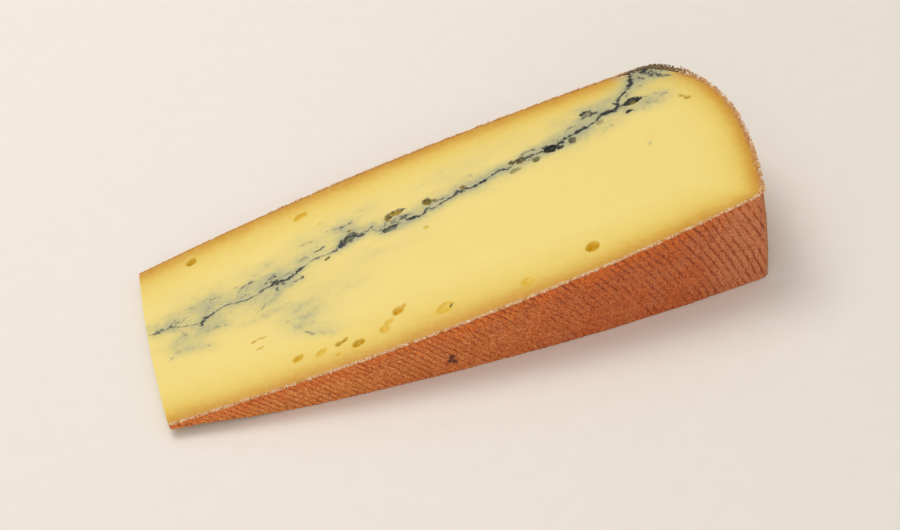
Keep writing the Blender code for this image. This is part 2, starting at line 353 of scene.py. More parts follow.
# %% Veins: darkness, width, and the points that they pass
VEINS = (
    (0.5, 0.6, (1.5, 3.4), (2.4, 4.2), (3.9, 4.3)), (0.45, 0.5, (-0.4, 7.2), (0.4, 7.8)),
    (0.3, 0.5, (0.6, 6.0), (3.3, 6.6)), (0.75, 0.6, (5.8, 4.0), (6.6, 5.3), (7.8, 5.7)),
    (0.65, 0.5, (6.9, 4.4), (8.6, 4.7)), (0.5, 0.4, (9.6, 4.0), (10.1, 4.9), (10.8, 5.0)),
    (0.5, 0.45, (7.9, 2.0), (8.5, 0.6), (9.3, -0.8)), (0.95, 0.5, (9.1, -0.7), (9.4, -1.1)),
    (0.35, 0.4, (7.4, -1.4), (6.6, -3.4)), (0.55, 0.7, (12.2, 8.0), (13.0, 7.3), (13.8, 7.7)),
    (0.3, 0.5, (5.0, 8.6), (9.6, 7.6)), (1.0, 0.8, (14.3, -0.1), (14.7, -0.7)),
    (0.7, 0.5, (14.7, 0.8), (15.4, 2.9), (17.2, 3.0)), (0.6, 0.5, (15.6, 2.6), (16.6, 4.9), (17.5, 5.2)),
    (0.45, 0.4, (16.9, 5.2), (18.2, 6.6), (18.6, 8.0)), (0.6, 0.6, (16.7, 8.8), (18.0, 8.9), (19.4, 8.0)),
    (0.6, 0.4, (20.8, 8.2), (21.7, 7.5)), (0.35, 0.5, (12.2, -0.9), (14.2, -1.6)),
    (0.6, 0.5, (15.4, -3.0), (17.8, -2.8), (20.9, -3.4)), (0.3, 0.4, (18.2, -1.7), (19.4, -2.2)),
    (0.42, 0.45, (3.9, -8.6), (5.2, -6.9), (6.6, -6.0)),
    (0.3, 0.6, (6.4, -6.2), (9.6, -6.9), (12.8, -8.4)),
    (0.25, 0.6, (12.6, -9.2), (15.2, -10.4), (17.6, -10.9)), (0.8, 0.35, (14.6, -8.4), (14.8, -8.7)),
    (0.75, 0.5, (26.2, 7.0), (27.8, 8.3), (30.4, 8.7)), (0.5, 0.4, (25.7, 9.3), (26.4, 9.2)),
    (0.5, 0.4, (28.4, 7.1), (29.1, 7.3)), (0.55, 0.5, (26.6, 4.2), (27.4, 5.0), (28.8, 4.4)),
    (0.4, 0.4, (30.8, 3.1), (33.4, 3.3)), (0.3, 0.9, (34.4, 11.4), (36.0, 12.9)),
    (0.4, 0.5, (31.2, 11.4), (32.4, 10.8)), (0.5, 0.5, (29.7, -3.4), (31.3, -2.7), (32.4, -1.6)),
    (0.5, 0.5, (34.0, -1.2), (35.3, -0.5), (36.7, 1.4), (37, 3.4)),
    (0.3, 0.5, (25.6, -5.6), (28.6, -6.4), (31.6, -5.9)),
    (0.3, 0.4, (31.4, -6.2), (35.4, -5.4), (38.6, -4.4)), (0.7, 0.5, (41.4, 2.5), (44.3, 2.8)),
    (0.4, 0.4, (39.8, 1.4), (41.0, 1.8)), (0.6, 0.5, (44.3, 9.3), (46.8, 9.8)),
    (0.85, 0.7, (33.3, 5.9), (34.6, 6.4), (35.4, 7.3)), (0.9, 0.8, (35.3, 7.4), (36.4, 7.2), (37.7, 7.4)),
    (0.8, 0.5, (36.3, 8.2), (37.2, 8.5)), (0.9, 1.1, (36.1, 5.9), (37.2, 4.9), (38.3, 4.8)),
    (0.75, 0.7, (36.9, 4.4), (36.5, 2.2)), (0.6, 0.6, (38.0, 3.9), (38.8, 3.0)),
    (0.8, 0.7, (34.2, 4.3), (36.0, 4.6)), (0.6, 0.5, (38.7, 6.2), (41.2, 6.7)),
    (0.8, 0.6, (41.4, 5.2), (43.4, 6.6), (44.6, 6.2)), (0.3, 1.3, (34.6, -10.0), (36.9, -11.3)),
    (0.32, 0.8, (37.7, -8.2), (39.6, -8.8), (42.2, -8.1)),
    (0.5, 0.6, (40.3, -11.5), (41.2, -12.2), (42.6, -11.6)),
    (0.35, 0.7, (38.0, -14.2), (40.2, -15.1), (42.4, -15.2)),
    (0.35, 0.9, (39.2, -15.5), (40.4, -17.8), (41.8, -19.6)),
    (0.32, 0.7, (40.9, -18.1), (43.4, -19.6), (45.9, -21.5)), (0.6, 0.4, (46.6, -21.9), (46.9, -22.3)),
    (0.45, 0.6, (54.4, 17.0), (56.6, 16.3), (58.6, 15.9)),
    (0.85, 0.5, (56.0, 16.9), (58.6, 16.0), (60.4, 16.0), (61.6, 16.9)),
    (0.85, 0.6, (49.3, 10.4), (51.9, 11.4)), (0.5, 0.5, (46.1, 14.8), (48.0, 15.4), (49.8, 15.0)),
    (0.6, 0.45, (44.6, 10.4), (46.5, 10.5)), (0.2, 1.0, (64.4, 1.2), (66.2, 1.1)),
    (0.15, 1.7, (57.8, -7.0), (61.3, -6.9)), (0.18, 0.9, (62.4, 3.2), (66.4, 5.6)),
    (0.12, 1.4, (75.6, 0.2), (82.0, -4.4)), (0.3, 0.7, (64.2, 20.4), (65.9, 19.3)),
    (0.2, 0.6, (66.8, 20.1), (68.4, 19.6)), (0.95, 0.9, (54.9, 8.2), (56.2, 8.6), (56.6, 9.6)),
    (0.9, 0.8, (56.4, 9.2), (57.2, 10.8)), (0.95, 0.8, (59.9, 12.2), (61.3, 11.9), (61.0, 10.6)),
    (0.95, 0.8, (61.8, 10.0), (63.6, 9.9)), (0.55, 0.5, (60.0, 13.4), (61.6, 13.3), (64.4, 12.2)),
    (0.65, 0.5, (63.4, 10.5), (66.4, 11.3)), (0.6, 0.5, (66.2, 11.6), (66.8, 12.6)),
    (0.7, 0.5, (68.2, 9.6), (70.2, 10.2), (70.6, 11.3)),
    (0.6, 0.5, (69.4, 8.4), (72.2, 7.9), (74.2, 8.3)), (0.7, 0.6, (72.8, 10.6), (74.0, 11.6)),
    (0.75, 0.6, (74.6, 11.0), (76.2, 10.4), (77.6, 10.6)),
    (0.95, 0.8, (76.4, 8.9), (78.4, 8.3), (79.4, 8.5)), (0.9, 0.6, (81.5, 9.4), (82.2, 10.2)),
    (0.6, 0.5, (83.0, 10.2), (84.0, 11.2)), (0.8, 0.5, (85.4, 11.4), (88.5, 11.8)),
    (0.5, 0.5, (91.0, 13.6), (92.0, 13.9)), (0.4, 0.5, (95.5, 16.4), (97.3, 16.0)),
    (0.35, 0.5, (82.6, 20.0), (84.4, 20.6)), (0.7, 0.7, (104.6, 13.9), (107.4, 12.8)),
    (0.9, 0.6, (111.9, 15.6), (113.0, 16.5), (116.0, 16.3)), (0.9, 0.6, (115.2, 16.6), (116.8, 16.3)),
    (0.7, 0.6, (113.0, 14.0), (115.0, 14.6), (117.6, 14.3)), (0.6, 0.5, (113.4, 12.9), (114.6, 13.9)),
    (0.9, 0.8, (118.4, 15.4), (119.6, 15.6), (121.6, 15.0)),
    (0.9, 0.7, (122.3, 13.9), (123.4, 14.7), (124.6, 14.6)), (0.95, 0.8, (123.3, 15.6), (125.0, 16.1)),
    (0.5, 0.5, (122.4, 16.4), (122.2, 17.6)), (0.5, 0.45, (126.2, 18.6), (127.4, 19.5), (129.7, 19.2)),
    (0.95, 0.7, (129.0, 16.5), (131.6, 17.3)),
    (0.95, 0.9, (132.2, 20.9), (133.6, 21.6), (134.9, 21.0), (136.6, 21.1)),
    (0.4, 0.7, (133.2, 23.9), (134.4, 24.6)), (1.0, 0.9, (137.2, 19.7), (138.6, 20.0), (141.2, 19.2)),
    (0.95, 0.8, (142.2, 19.3), (143.2, 20.9), (142.6, 21.9)),
    (0.7, 0.45, (144.2, 16.9), (145.2, 17.0), (146.2, 16.4)), (0.75, 0.5, (144.3, 16.0), (144.9, 16.2)),
    (0.9, 0.7, (147.6, 25.9), (149.7, 27.4)), (0.95, 0.8, (149.8, 28.4), (150.6, 32.4)),
    (0.8, 0.8, (151.2, 28.9), (152.2, 28.3), (152.9, 27.4)), (0.6, 0.5, (150.9, 28.0), (152.0, 27.2)),
    (0.95, 0.6, (151.0, 24.9), (151.5, 24.7)), (1.0, 1.7, (147.6, 33.0), (153.0, 32.4), (158.6, 30.8)),
    (0.65, 1.8, (152.6, 31.8), (157.4, 30.4), (161.0, 28.4)),
    (0.6, 1.5, (155.0, 30.0), (156.4, 27.6), (157.6, 26.4)),
    (0.6, 1.4, (156.4, 27.4), (158.8, 25.4), (160.2, 24.6)),
    (0.6, 1.0, (149.6, 29.6), (152.4, 29.4), (153.4, 27.2)), (0.5, 0.8, (147.4, 24.6), (146.2, 22.6)),
    (0.6, 0.6, (141.6, 18.4), (144.4, 18.8)), (0.5, 0.8, (150.4, 20.2), (151.2, 19.4)),
    (0.55, 0.6, (154.8, 17.6), (155.8, 18.1), (156.8, 17.9)),
    (0.55, 0.6, (150.6, 17.5), (151.6, 16.4), (152.8, 15.6)), (0.45, 0.7, (148.8, 15.1), (149.9, 14.6)),
    (0.75, 2.2, (151.6, 31.8), (154.4, 30.8)), (0.6, 2.0, (155.0, 30.2), (158.2, 28.4)),
    (0.5, 0.4, (153.6, 19.9), (154.5, 19.4)), (0.5, 0.5, (136.7, 13.3), (138.2, 13.7), (139.2, 13.3)),
    (0.45, 0.4, (134.6, 11.7), (135.6, 11.7)), (0.95, 0.3, (144.6, 0.7), (144.7, 0.9)),
    (0.22, 0.7, (139.3, 3.4), (140.2, 3.1)), (0.35, 0.6, (131.4, 25.5), (132.5, 25.1)),
    (0.35, 0.6, (136.0, 24.2), (137.3, 24.6)), (0.25, 0.8, (140.4, 25.0), (141.4, 24.6)),
    (0.25, 0.8, (119, 22), (120.6, 22)),
)
WARP, WARP_PITCH = 0.34, 1.1  # how far noise shifts a vein, and over what distance
print(len(VEINS), "veins, the darkest", max(vein[0] for vein in VEINS))

# %% Stains: reach, across, length, width, strength (0-1) and lean in degrees
STAINS = (
    (10.5, 6.4, 18, 8, 0.58, 0), (19.5, 6.0, 14, 9, 0.52, 0), (11, -1.8, 17, 7, 0.46, -5),
    (9, -6.6, 16, 8, 0.5, -20), (6, 4, 11, 6, 0.45, 0), (46, -20, 13, 6, 0.3, -20),
    (153, 17, 24, 11, 0.36, -10), (154, 30, 14, 7, 0.7, -12), (21, -0.8, 15, 8, 0.34, 0),
    (29, 6.2, 16, 8, 0.46, 5), (38, 6.2, 13, 8, 0.6, 10), (34, 0, 18, 8, 0.36, 12),
    (36, 12.0, 9, 5, 0.22, 10), (47, 10.5, 12, 7, 0.34, 15), (41, -13.5, 11, 11, 0.42, -50),
    (30, -6, 14, 3, 0.18, 5), (59, 10.6, 12, 6.5, 0.74, 18), (58.5, 15.6, 9, 4, 0.34, 10),
    (66, 9.8, 8, 4.5, 0.36, 5), (73.5, 9.6, 11, 7, 0.7, 10), (84, 12, 13, 7, 0.56, 8),
    (95, 12, 17, 7, 0.5, 8), (105, 13.4, 12, 6, 0.56, 10), (112, 13.2, 13, 7, 0.58, 8),
    (121, 14.8, 14, 7.5, 0.7, 8), (129, 17.5, 15, 9, 0.68, 10), (138, 20.5, 16, 10, 0.7, 20),
    (135, 23.2, 9, 6, 0.42, 0), (146.5, 22.5, 12, 12, 0.56, 30), (155, 27, 12, 8, 0.46, -15),
    (150, 17.4, 12, 5, 0.26, -10), (162, 25, 9, 8, 0.3, -50), (138, 13.5, 10, 4, 0.2, 10),
    (60, -6.9, 10, 4, 0.14, 15), (54, 17, 30, 12, 0.46, 12), (42, -6, 36, 18, 0.36, 10),
    (8, 16, 20, 12, 0.16, 0), (95, 21, 50, 13, 0.34, 8), (24, 13, 24, 9, 0.3, 5),
    (66, 1, 40, 12, 0.24, 5), (48, -12, 24, 12, 0.22, 10), (128, 24, 22, 8, 0.3, 8),
    (132, 11, 30, 8, 0.22, 10), (104, 7, 30, 7, 0.14, 8),
)
print(len(STAINS), "stains")


# %% The marks on any point of a cut
LEAST_HALF, HALF_SHARE = 0.06, 0.56  # half of a dark line's width: mm, plus a share of its width
LINE_HALOS = ((0.5, 1.4), (0.4, 3.5))  # the stain along the ash line: strength, and mm
VEIN_SPAN = 5.0  # mm from a vein's ends within which it counts


def in_ellipse(du, dv, length, width, lean):
    """A place in units of an ellipse that leans by some degrees: along it and over it, 1 on its edge."""
    lean = math.radians(lean)
    along = (du * math.cos(lean) + dv * math.sin(lean)) / (length / 2)
    over = (dv * math.cos(lean) - du * math.sin(lean)) / (width / 2)
    return along, over


def marks(reach, across):
    """Vein and stain, both 0-1. A vein adds darkness x bell(distance, half width), a stain lies wider.

    Contributions join as 1 - (1 - a)(1 - b), so that veins that cross never pass 1.
    """
    patchy = noise(reach / 0.9, across / 0.6, 33, octaves=3)
    speckle = noise(reach / 0.35, across / 0.3, 34)
    uneven = 0.88 + 0.28 * noise(reach / 5, across / 3.5, 3, octaves=2)
    gap, share = line_distance(reach, across, ash_line[::2])
    darkness = np.interp(share, ash_travel, ash_darkness)
    half = (LEAST_HALF + HALF_SHARE * np.interp(share, ash_travel, ash_width)) * (1 + 0.5 * patchy)
    core = np.clip(0.85 + 0.45 * patchy + 0.3 * speckle, 0.25, 1)
    vein = 1 - darkness * core * bell(gap, half)
    vein *= 1 - 0.3 * darkness * np.clip(0.8 + 0.7 * patchy, 0, 1.3) * bell(gap, half + 0.4)
    stain = 1 - uneven * darkness * sum(strength * bell(gap, size) for strength, size in LINE_HALOS)
    shifted_reach = reach + WARP * noise(reach / WARP_PITCH, across / WARP_PITCH, 31, octaves=3)
    shifted_across = across + WARP * noise(reach / WARP_PITCH, across / WARP_PITCH, 32, octaves=3)
    for darkness, width, *points in VEINS:
        line = np.array(points, float)
        middle = line.mean(axis=0)
        span = np.hypot(*(line - middle).T).max() + VEIN_SPAN
        near = np.hypot(reach - middle[0], across - middle[1]) < span
        gap, _ = line_distance(shifted_reach[near], shifted_across[near], line)
        broken = np.clip(0.8 + 0.7 * patchy[near] + 0.4 * speckle[near], 0.12, 1.1)
        vein[near] *= 1 - np.clip(darkness * broken, 0, 1) * bell(gap, width * HALF_SHARE)
        wide = 0.42 * bell(gap, width * 0.6 + 0.5) + 0.2 * bell(gap, 2.2)
        stain[near] *= 1 - darkness * wide * uneven[near]
    for stain_reach, stain_across, length, width, strength, lean in STAINS:
        du, dv = shifted_reach - stain_reach, shifted_across - stain_across
        along, over = in_ellipse(du, dv, length, width, lean)
        stain *= 1 - strength * uneven * np.exp(-(along**2 + over**2))
    return np.clip(1 - vein, 0, 1), np.clip(1 - stain, 0, 1)


half_way = ash_line[ASH_STEPS // 2]
print("half way along the ash, vein and stain are", *(mark[0].round(2) for mark in marks(*half_way[:, None])))

# %% [markdown]
# ## Eyes
#
# Small openings are scattered through the paste: round eyes that gas made, and crooked gaps where curd never
# met, lined with ash near the line. These are real hollows, so they are moved geometry: each eye is an
# ellipse whose outline wobbles, and the surface sinks inside it with a steep wall. Where two overlap, the
# deeper one wins.

# %% Eyes: reach, across, length, width, depth, lean in degrees, how much ash lines them, and a tint
# The first tint, gold, is painted bounce light: the paste's yellow deepened as if light bounced inside the
# eye. Olive and grey are ash, and black is ash darkened further by painted shade.
GOLD_BOUNCE, OLIVE, GREY, BLACK = 0.0, 0.33, 0.67, 1.0  # tints of what shows inside
LINING, WALL = 0.28, 0.95  # mm of ash on the wall of an eye, and the wall's place in the ellipse
EYES = (
    (15.9, 26.3, 3.3, 2.7, 1.7, 25, 0, 0.06), (36.1, -25.9, 3.2, 2.1, 1.0, 20, 0.05, GOLD_BOUNCE),
    (42.3, -27.0, 3.8, 1.9, 0.5, 25, 0, GOLD_BOUNCE), (46.3, -30.0, 1.5, 1.0, 0.4, 10, 0, GOLD_BOUNCE),
    (47.4, -26.5, 2.2, 1.6, 1.1, 20, 0.1, 0.1), (49.2, -25.9, 2.0, 1.1, 1.0, 35, 0.1, 0.1),
    (52.1, -28.9, 3.4, 2.4, 1.5, 0, 0.1, 0.08), (59.6, -27.7, 2.6, 2.8, 0.6, 40, 0, GOLD_BOUNCE),
    (61.3, -25.9, 3.4, 1.8, 0.5, 30, 0, GOLD_BOUNCE), (64.5, -23.3, 3.4, 2.6, 1.8, 20, 0, GOLD_BOUNCE),
    (66.4, -22.3, 1.8, 1.0, 0.9, 35, 0, GOLD_BOUNCE), (76.0, -28.7, 5.2, 3.5, 0.6, 25, 0, GOLD_BOUNCE),
    (77.7, -28.6, 1.6, 0.9, 1.2, 25, 0, 0.8), (98.1, -31.2, 3.6, 2.9, 0.4, 20, 0, GOLD_BOUNCE),
    (117.1, -28.2, 4.0, 3.6, 2.3, 15, 0, GOLD_BOUNCE), (80.0, 3.1, 1.6, 1.3, 0.35, 10, 0, GOLD_BOUNCE),
    (26.4, -13.7, 1.9, 0.9, 0.5, 12, 0.1, 0.14), (28.6, -13.4, 3.2, 0.55, 0.35, -8, 0.1, 0.14),
    (27.6, -16.8, 2.3, 0.8, 0.5, 8, 0.1, 0.12), (48.8, 27.3, 5.0, 2.3, 0.9, 20, 0, GOLD_BOUNCE),
    (53.4, 21.4, 1.3, 0.9, 0.3, 10, 0.1, GOLD_BOUNCE), (60.2, 13.5, 1.4, 0.9, 0.5, 10, 0.3, OLIVE),
    (159.9, 14.5, 1.7, 1.0, 0.8, -35, 0.3, 0.24), (161.0, 12.9, 2.2, 1.4, 1.0, -20, 0.12, 0.2),
    (52.0, 6.2, 1.7, 0.7, 0.7, 35, 0.5, OLIVE), (71.5, 12.6, 2.2, 3.0, 1.3, -10, 0.5, 0.24),
    (74.3, 13.4, 4.4, 2.0, 1.2, 2, 0.65, 0.14), (93.7, 12.8, 1.6, 1.3, 0.8, 10, 0.4, 0.16),
    (83.2, 12.8, 2.8, 2.7, 1.5, 10, 0.65, 0.28), (85.2, 12.2, 1.2, 1.0, 0.7, 0, 0.5, OLIVE),
    (109.0, 14.6, 1.9, 1.4, 1.0, 10, 0.6, 0.5), (111.3, 14.3, 2.9, 2.1, 1.3, 15, 0.65, 0.45),
    (108.8, 11.1, 3.4, 1.7, 0.5, 8, 0, 0.5), (121.0, 13.7, 1.8, 1.4, 1.8, 10, 0, 0.1),
    (120.3, 14.0, 3.9, 2.9, 1.9, 10, 1, 0.92), (122.9, 13.1, 1.8, 1.2, 0.8, 0, 0.8, 0.8),
    (126.8, 14.0, 2.4, 2.0, 1.1, 50, 0.6, 0.5), (136.2, 16.8, 2.2, 1.7, 0.2, 30, 0.35, 0.5),
    (147.8, 20.4, 3.4, 1.3, 1.8, 6, 0.1, 0.3), (147.0, 20.0, 5.8, 2.2, 1.4, 4, 1, 0.92),
    (144.9, 16.6, 1.7, 1.0, 0.7, 10, 0.9, BLACK), (59.6, 10.4, 3.4, 2.2, 0.9, 20, 0.8, GREY),
    (70.9, 8.1, 3.9, 1.9, 0.7, 0, 0.8, GREY), (72.4, 10.3, 1.7, 2.0, 0.3, 0, 0.3, GREY),
    (37.2, 5.0, 1.3, 1.0, 0.4, 20, 0.5, 0.8), (139.4, 19.5, 3.2, 0.9, 0.5, -8, 1, BLACK),
    (134.2, 22.4, 3.0, 1.8, 0.6, -20, 0.9, 0.5), (77.6, 8.9, 1.8, 0.6, 0.4, 0, 0.9, 0.8),
    (115.4, 12.2, 2.2, 1.9, 0.9, 10, 0.4, 0.5),
)


def eyes(reach, across):
    """Depth in mm, how far inside an eye a point is (0-1), the ash on its wall (0-1), and the tint inside.

    r is the distance from the middle in units of the ellipse, times a wobble; depth = full x (1 - r^3).
    """
    depth, inside, lining, tint = (np.zeros(reach.shape) for _ in range(4))
    for number, (eye_reach, eye_across, length, width, full, lean, ash, shade) in enumerate(EYES):
        du, dv = reach - eye_reach, across - eye_across
        near = np.hypot(du, dv) < length + width
        along, over = in_ellipse(du[near], dv[near], length, width, lean)
        rough = 0.13 + 0.13 * min(1.0, ash + shade)
        wobble = 1 + rough * noise(along * 1.4 + 9 * number, over * 1.4, 5, octaves=3)
        r = np.hypot(along, over) * wobble
        uneven = 1 + 0.25 * noise(along * 2 + 9 * number, over * 2, 6)
        depth[near] = np.maximum(depth[near], full * uneven * np.clip(1 - r**3, 0, 1))
        # Deeper eyes take more of their tint: more painted bounce light in gold eyes, more painted shade in
        # black ones.
        this = rise(r, 1.06, 0.84) * min(1.0, 0.46 + full * 0.4 + ash * 0.3)
        tint[near] = np.where(this > inside[near], shade, tint[near])
        inside[near] = np.maximum(inside[near], this)
        lining[near] = np.maximum(lining[near], ash * bell((r - WALL) * width / 2, LINING))
    return depth, inside, lining, tint


print(len(EYES), "eyes, the deepest", max(eye[4] for eye in EYES), "mm")

# %% [markdown]
# ## The relief of a cut
#
# A wire or a long knife leaves the cut almost flat: it bows by a tenth of a millimetre over a few
# centimetres, and it sinks a little along the ash, where the curd holds together less. The underside is cut
# the same way but shows other eyes and veins, so it borrows those of the upper cut in the opposite order.


# %% Where the lower cut borrows from, and how far the upper one stands off its plane
FLIP_ABOUT = 138.0  # the lower cut's marks run the other way, from this reach back to the tip
WAVE_HEIGHT, WAVE_REACH, WAVE_ACROSS = 0.10, 22, 14  # mm: the knife's slow waves, and how long they are
ASH_FURROW, FURROW_HALF = 0.16, 0.6  # mm: how deep the cut sinks where the ash is darkest, and how widely


def flipped(reach, across):
    """Where a point of the lower cut borrows its marks from: reach mirrored, same gap to the ash.

    Beyond FLIP_ABOUT the ash turns steeply up to the rind, on both cuts at the same place, so nothing moves.
    """
    order = np.argsort(ash_line[:, 0])
    line_reach, line_across = ash_line[order, 0], ash_line[order, 1]
    mirrored = FLIP_ABOUT - reach
    line_here, line_there = (np.interp(at, line_reach, line_across) for at in (reach, mirrored))
    shifted = across - line_here + line_there
    beyond = reach > FLIP_ABOUT
    return np.where(beyond, reach, mirrored), np.where(beyond, across, shifted)


def slow_waves(reach, across):
    """Height in mm of the waves that the knife leaves."""
    return WAVE_HEIGHT * noise(reach / WAVE_REACH, across / WAVE_ACROSS, 7)


def cut_relief(reach, across):
    """Height in mm of the upper cut over its plane: waves, less the eyes and a furrow along the ash."""
    waves = slow_waves(reach, across) + 0.03 * noise(reach / 3.5, across / 2.2, 8, octaves=2)
    gap, share = line_distance(reach, across, ash_line[::4])
    furrow = ASH_FURROW * np.interp(share, ash_travel, ash_darkness) * bell(gap, FURROW_HALF)
    return waves - furrow - eyes(reach, across)[0]


print(f"the cut's relief 60 mm out is {cut_relief(np.array([60.0]), np.array([0.0]))[0]:.3f} mm")

# %% [markdown]
# ## Making meshes from arrays
#
# All pieces come down to an array of points, some four-sided faces and some triangles. One function puts
# them into a mesh in one go and stores any values that the materials will read. It also counts edges that
# don't have exactly two faces: a closed solid has none, and this is the quickest way to see a mistake.


# %% Points and faces into an object
def put_mesh(name, points, quads, triangles=(), rings=(), values=None, sharp=60):
    """Makes a smooth-shaded object of points in mm; edges that turn by over sharp degrees stay crisp."""
    quads = np.asarray(quads, dtype=np.int32).reshape(-1, 4)
    triangles = np.asarray(triangles, dtype=np.int32).reshape(-1, 3)
    rings = [np.asarray(ring, dtype=np.int32) for ring in rings]
    corners = np.concatenate([quads.ravel(), triangles.ravel(), *rings])
    sizes = [np.full(len(quads), 4), np.full(len(triangles), 3), [len(ring) for ring in rings]]
    sizes = np.concatenate(sizes).astype(int)
    mesh = bpy.data.meshes.new(name)
    mesh.vertices.add(len(points))
    mesh.vertices.foreach_set("co", (np.asarray(points) * MM).astype(np.float32).ravel())
    mesh.loops.add(len(corners))
    mesh.loops.foreach_set("vertex_index", corners)
    mesh.polygons.add(len(sizes))
    mesh.polygons.foreach_set("loop_start", (np.cumsum(sizes) - sizes).astype(np.int32))
    mesh.update(calc_edges=True)
    mesh.shade_smooth()
    mesh.set_sharp_from_angle(angle=math.radians(sharp))
    for key, array in (values or {}).items():
        stored = mesh.attributes.new(key, "FLOAT", "POINT")
        stored.data.foreach_set("value", np.asarray(array, np.float32).ravel())
    made = bpy.data.objects.new(name, mesh)
    bpy.context.scene.collection.objects.link(made)
    print(f"{name}: {(sizes - 2).sum()} triangles, {open_edges(mesh)} open edges")
    return made


def open_edges(mesh):
    """How many edges don't have exactly two faces."""
    used = np.zeros(len(mesh.loops), dtype=np.int32)
    mesh.loops.foreach_get("edge_index", used)
    return int((np.bincount(used, minlength=len(mesh.edges)) != 2).sum())


loose = open_edges(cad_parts["paste_front"].data)
print("a CAD node is loose triangles, so all its", loose, "edges are open")

# %% [markdown]
# ## The paste, in two halves
#
# Each half is a block between four edges seen from above: the tip, the rind on one side, the ash on the
# other, and the far end. A *Coons patch* fills such a four-sided field from its edges alone: it adds the two
# ruled surfaces between opposite edges and takes away the flat one between the corners. The upper cut gets a
# fine grid for its eyes, the lower cut one of twice the pitch, and a zip of triangles joins the two.


# %% A surface between four edges
def patch(front, back, tip, far):
    """Coons patch: (1-v) front + v back + (1-u) tip + u far, less the same mix of the four corners.

    u and v are the shares of the length of the front edge and of the tip's edge.
    """
    u, v = (np.linalg.norm(np.diff(edge, axis=0), axis=1).cumsum() for edge in (front, tip))
    u = np.concatenate([[0], u / u[-1]])[:, None, None]
    v = np.concatenate([[0], v / v[-1]])[None, :, None]
    ruled = (1 - v) * front[:, None] + v * back[:, None] + (1 - u) * tip[None] + u * far[None]
    near_mix = (1 - v) * front[0] + v * back[0]
    far_mix = (1 - v) * front[-1] + v * back[-1]
    return ruled - (1 - u) * near_mix - u * far_mix


def grid_ids(rows, columns, first=0):
    """The numbers of a grid's points, as a rows x columns array."""
    return first + np.arange(rows * columns).reshape(rows, columns)


def grid_quads(ids):
    """Four-sided faces between neighbours of a grid, turning from the first direction to the second."""
    return np.stack([ids[:-1, :-1], ids[1:, :-1], ids[1:, 1:], ids[:-1, 1:]], axis=-1).reshape(-1, 4)


def grid_loop(ids):
    """A grid's outermost points, once round."""
    return np.concatenate([ids[:-1, 0], ids[-1, :-1], ids[:0:-1, -1], ids[0, :0:-1]])


def zip_loops(fine, coarse):
    """Triangles between a loop and one inside it with half as many points: three for each coarse step."""
    start, middle, end = fine[0::2], fine[1::2], np.roll(fine[0::2], -1)
    after = np.roll(coarse, -1)
    fans = [(start, coarse, middle), (middle, coarse, after), (middle, after, end)]
    return np.concatenate([np.stack(fan, axis=1) for fan in fans])


ids = grid_ids(3, 3)
print("a grid of 3 x 3 points has", len(grid_quads(ids)), "faces and", len(grid_loop(ids)), "points round it")

# %% What the paste's material reads
PASTE_VALUES = ("under_rind", "vein", "stain", "eye", "lining", "tint")
NARROWER, NARROW_FROM, NARROW_TO = 0.35, 145, 163  # the brown edge under the rind narrows towards the side
WIDER, WIDE_AT, WIDE_SPAN = 0.2, 78, 28  # and it is wider in the middle of the front


def surface_values(reach, across):
    """What the paste reads: cm under the rind, vein, stain, how far inside an eye, its ash and its tint."""
    under, _ = line_distance(reach, across, inner[::6])
    wide = WIDER * bell(reach - WIDE_AT, WIDE_SPAN) * (across < 0)
    under = under * (1 + NARROWER * rise(reach, NARROW_FROM, NARROW_TO) - wide)
    vein, stain = marks(reach, across)
    _, inside, lining, tint = eyes(reach, across)
    return np.stack([under / 10, vein, stain, inside, lining, tint])


middle_values = surface_values(np.array([90.0]), np.array([0.0]))[:, 0]
print("in the middle of the cut:", dict(zip(PASTE_VALUES, middle_values.round(2).tolist())))

# %% A block of paste from a patch
WALL_TURNS = (0.975, 0.85, 0.5, 0.15, 0.0)


def paste_block(name, front, back, tip, far, sink=0.0):
    """A closed block: the patch on the upper cut, walls down its rim, a coarser patch on the lower cut."""
    flat = patch(front, back, tip, far)
    rows, columns = flat.shape[:2]
    sides = np.cross(flat[1:, :-1] - flat[:-1, :-1], flat[:-1, 1:] - flat[:-1, :-1])
    print(f"{name}: grid {rows} x {columns}, smallest cell {sides.min():.4f} mm2")
    top = grid_ids(rows, columns)
    loop = grid_loop(top)
    reach, across = flat[..., 0].ravel(), flat[..., 1].ravel()
    levels = np.array(WALL_TURNS)[:, None]
    wall = place(reach[loop][None], across[loop][None], levels)
    wall_ids = grid_ids(len(WALL_TURNS), len(loop), top.size)
    across_rows = np.clip(np.arange(0, rows + 1, 2), 1, rows - 2)
    across_columns = np.clip(np.arange(0, columns + 1, 2), 1, columns - 2)
    under = flat[np.ix_(across_rows, across_columns)]
    low_reach, low_across = under[..., 0].ravel(), under[..., 1].ravel()
    bottom = grid_ids(*under.shape[:2], top.size + wall_ids.size)
    borrowed = flipped(low_reach, low_across)

    lift = cut_relief(reach, across)
    lift[loop] -= sink
    points = [
        place(reach, across, 1.0, lift),
        wall.reshape(-1, 3),
        place(low_reach, low_across, 0.0, eyes(*borrowed)[0]),
    ]
    belt = np.concatenate([loop[None], wall_ids])
    belt = np.concatenate([belt, belt[:, :1]], axis=1)
    quads = [grid_quads(top), grid_quads(belt), grid_quads(bottom)[:, ::-1]]
    zipped = zip_loops(wall_ids[-1], grid_loop(bottom))
    rim_reach, rim_across = np.tile(reach[loop], len(WALL_TURNS)), np.tile(across[loop], len(WALL_TURNS))
    low_values = surface_values(*borrowed)
    low_values[0] = surface_values(low_reach, low_across)[0]
    values = [surface_values(reach, across), surface_values(rim_reach, rim_across), low_values]
    named = dict(zip(PASTE_VALUES, np.concatenate(values, axis=1)))
    return put_mesh(name, np.concatenate(points), np.concatenate(quads), zipped, values=named)


print("a block's wall has points at", len(WALL_TURNS), "turns below its upper rim")

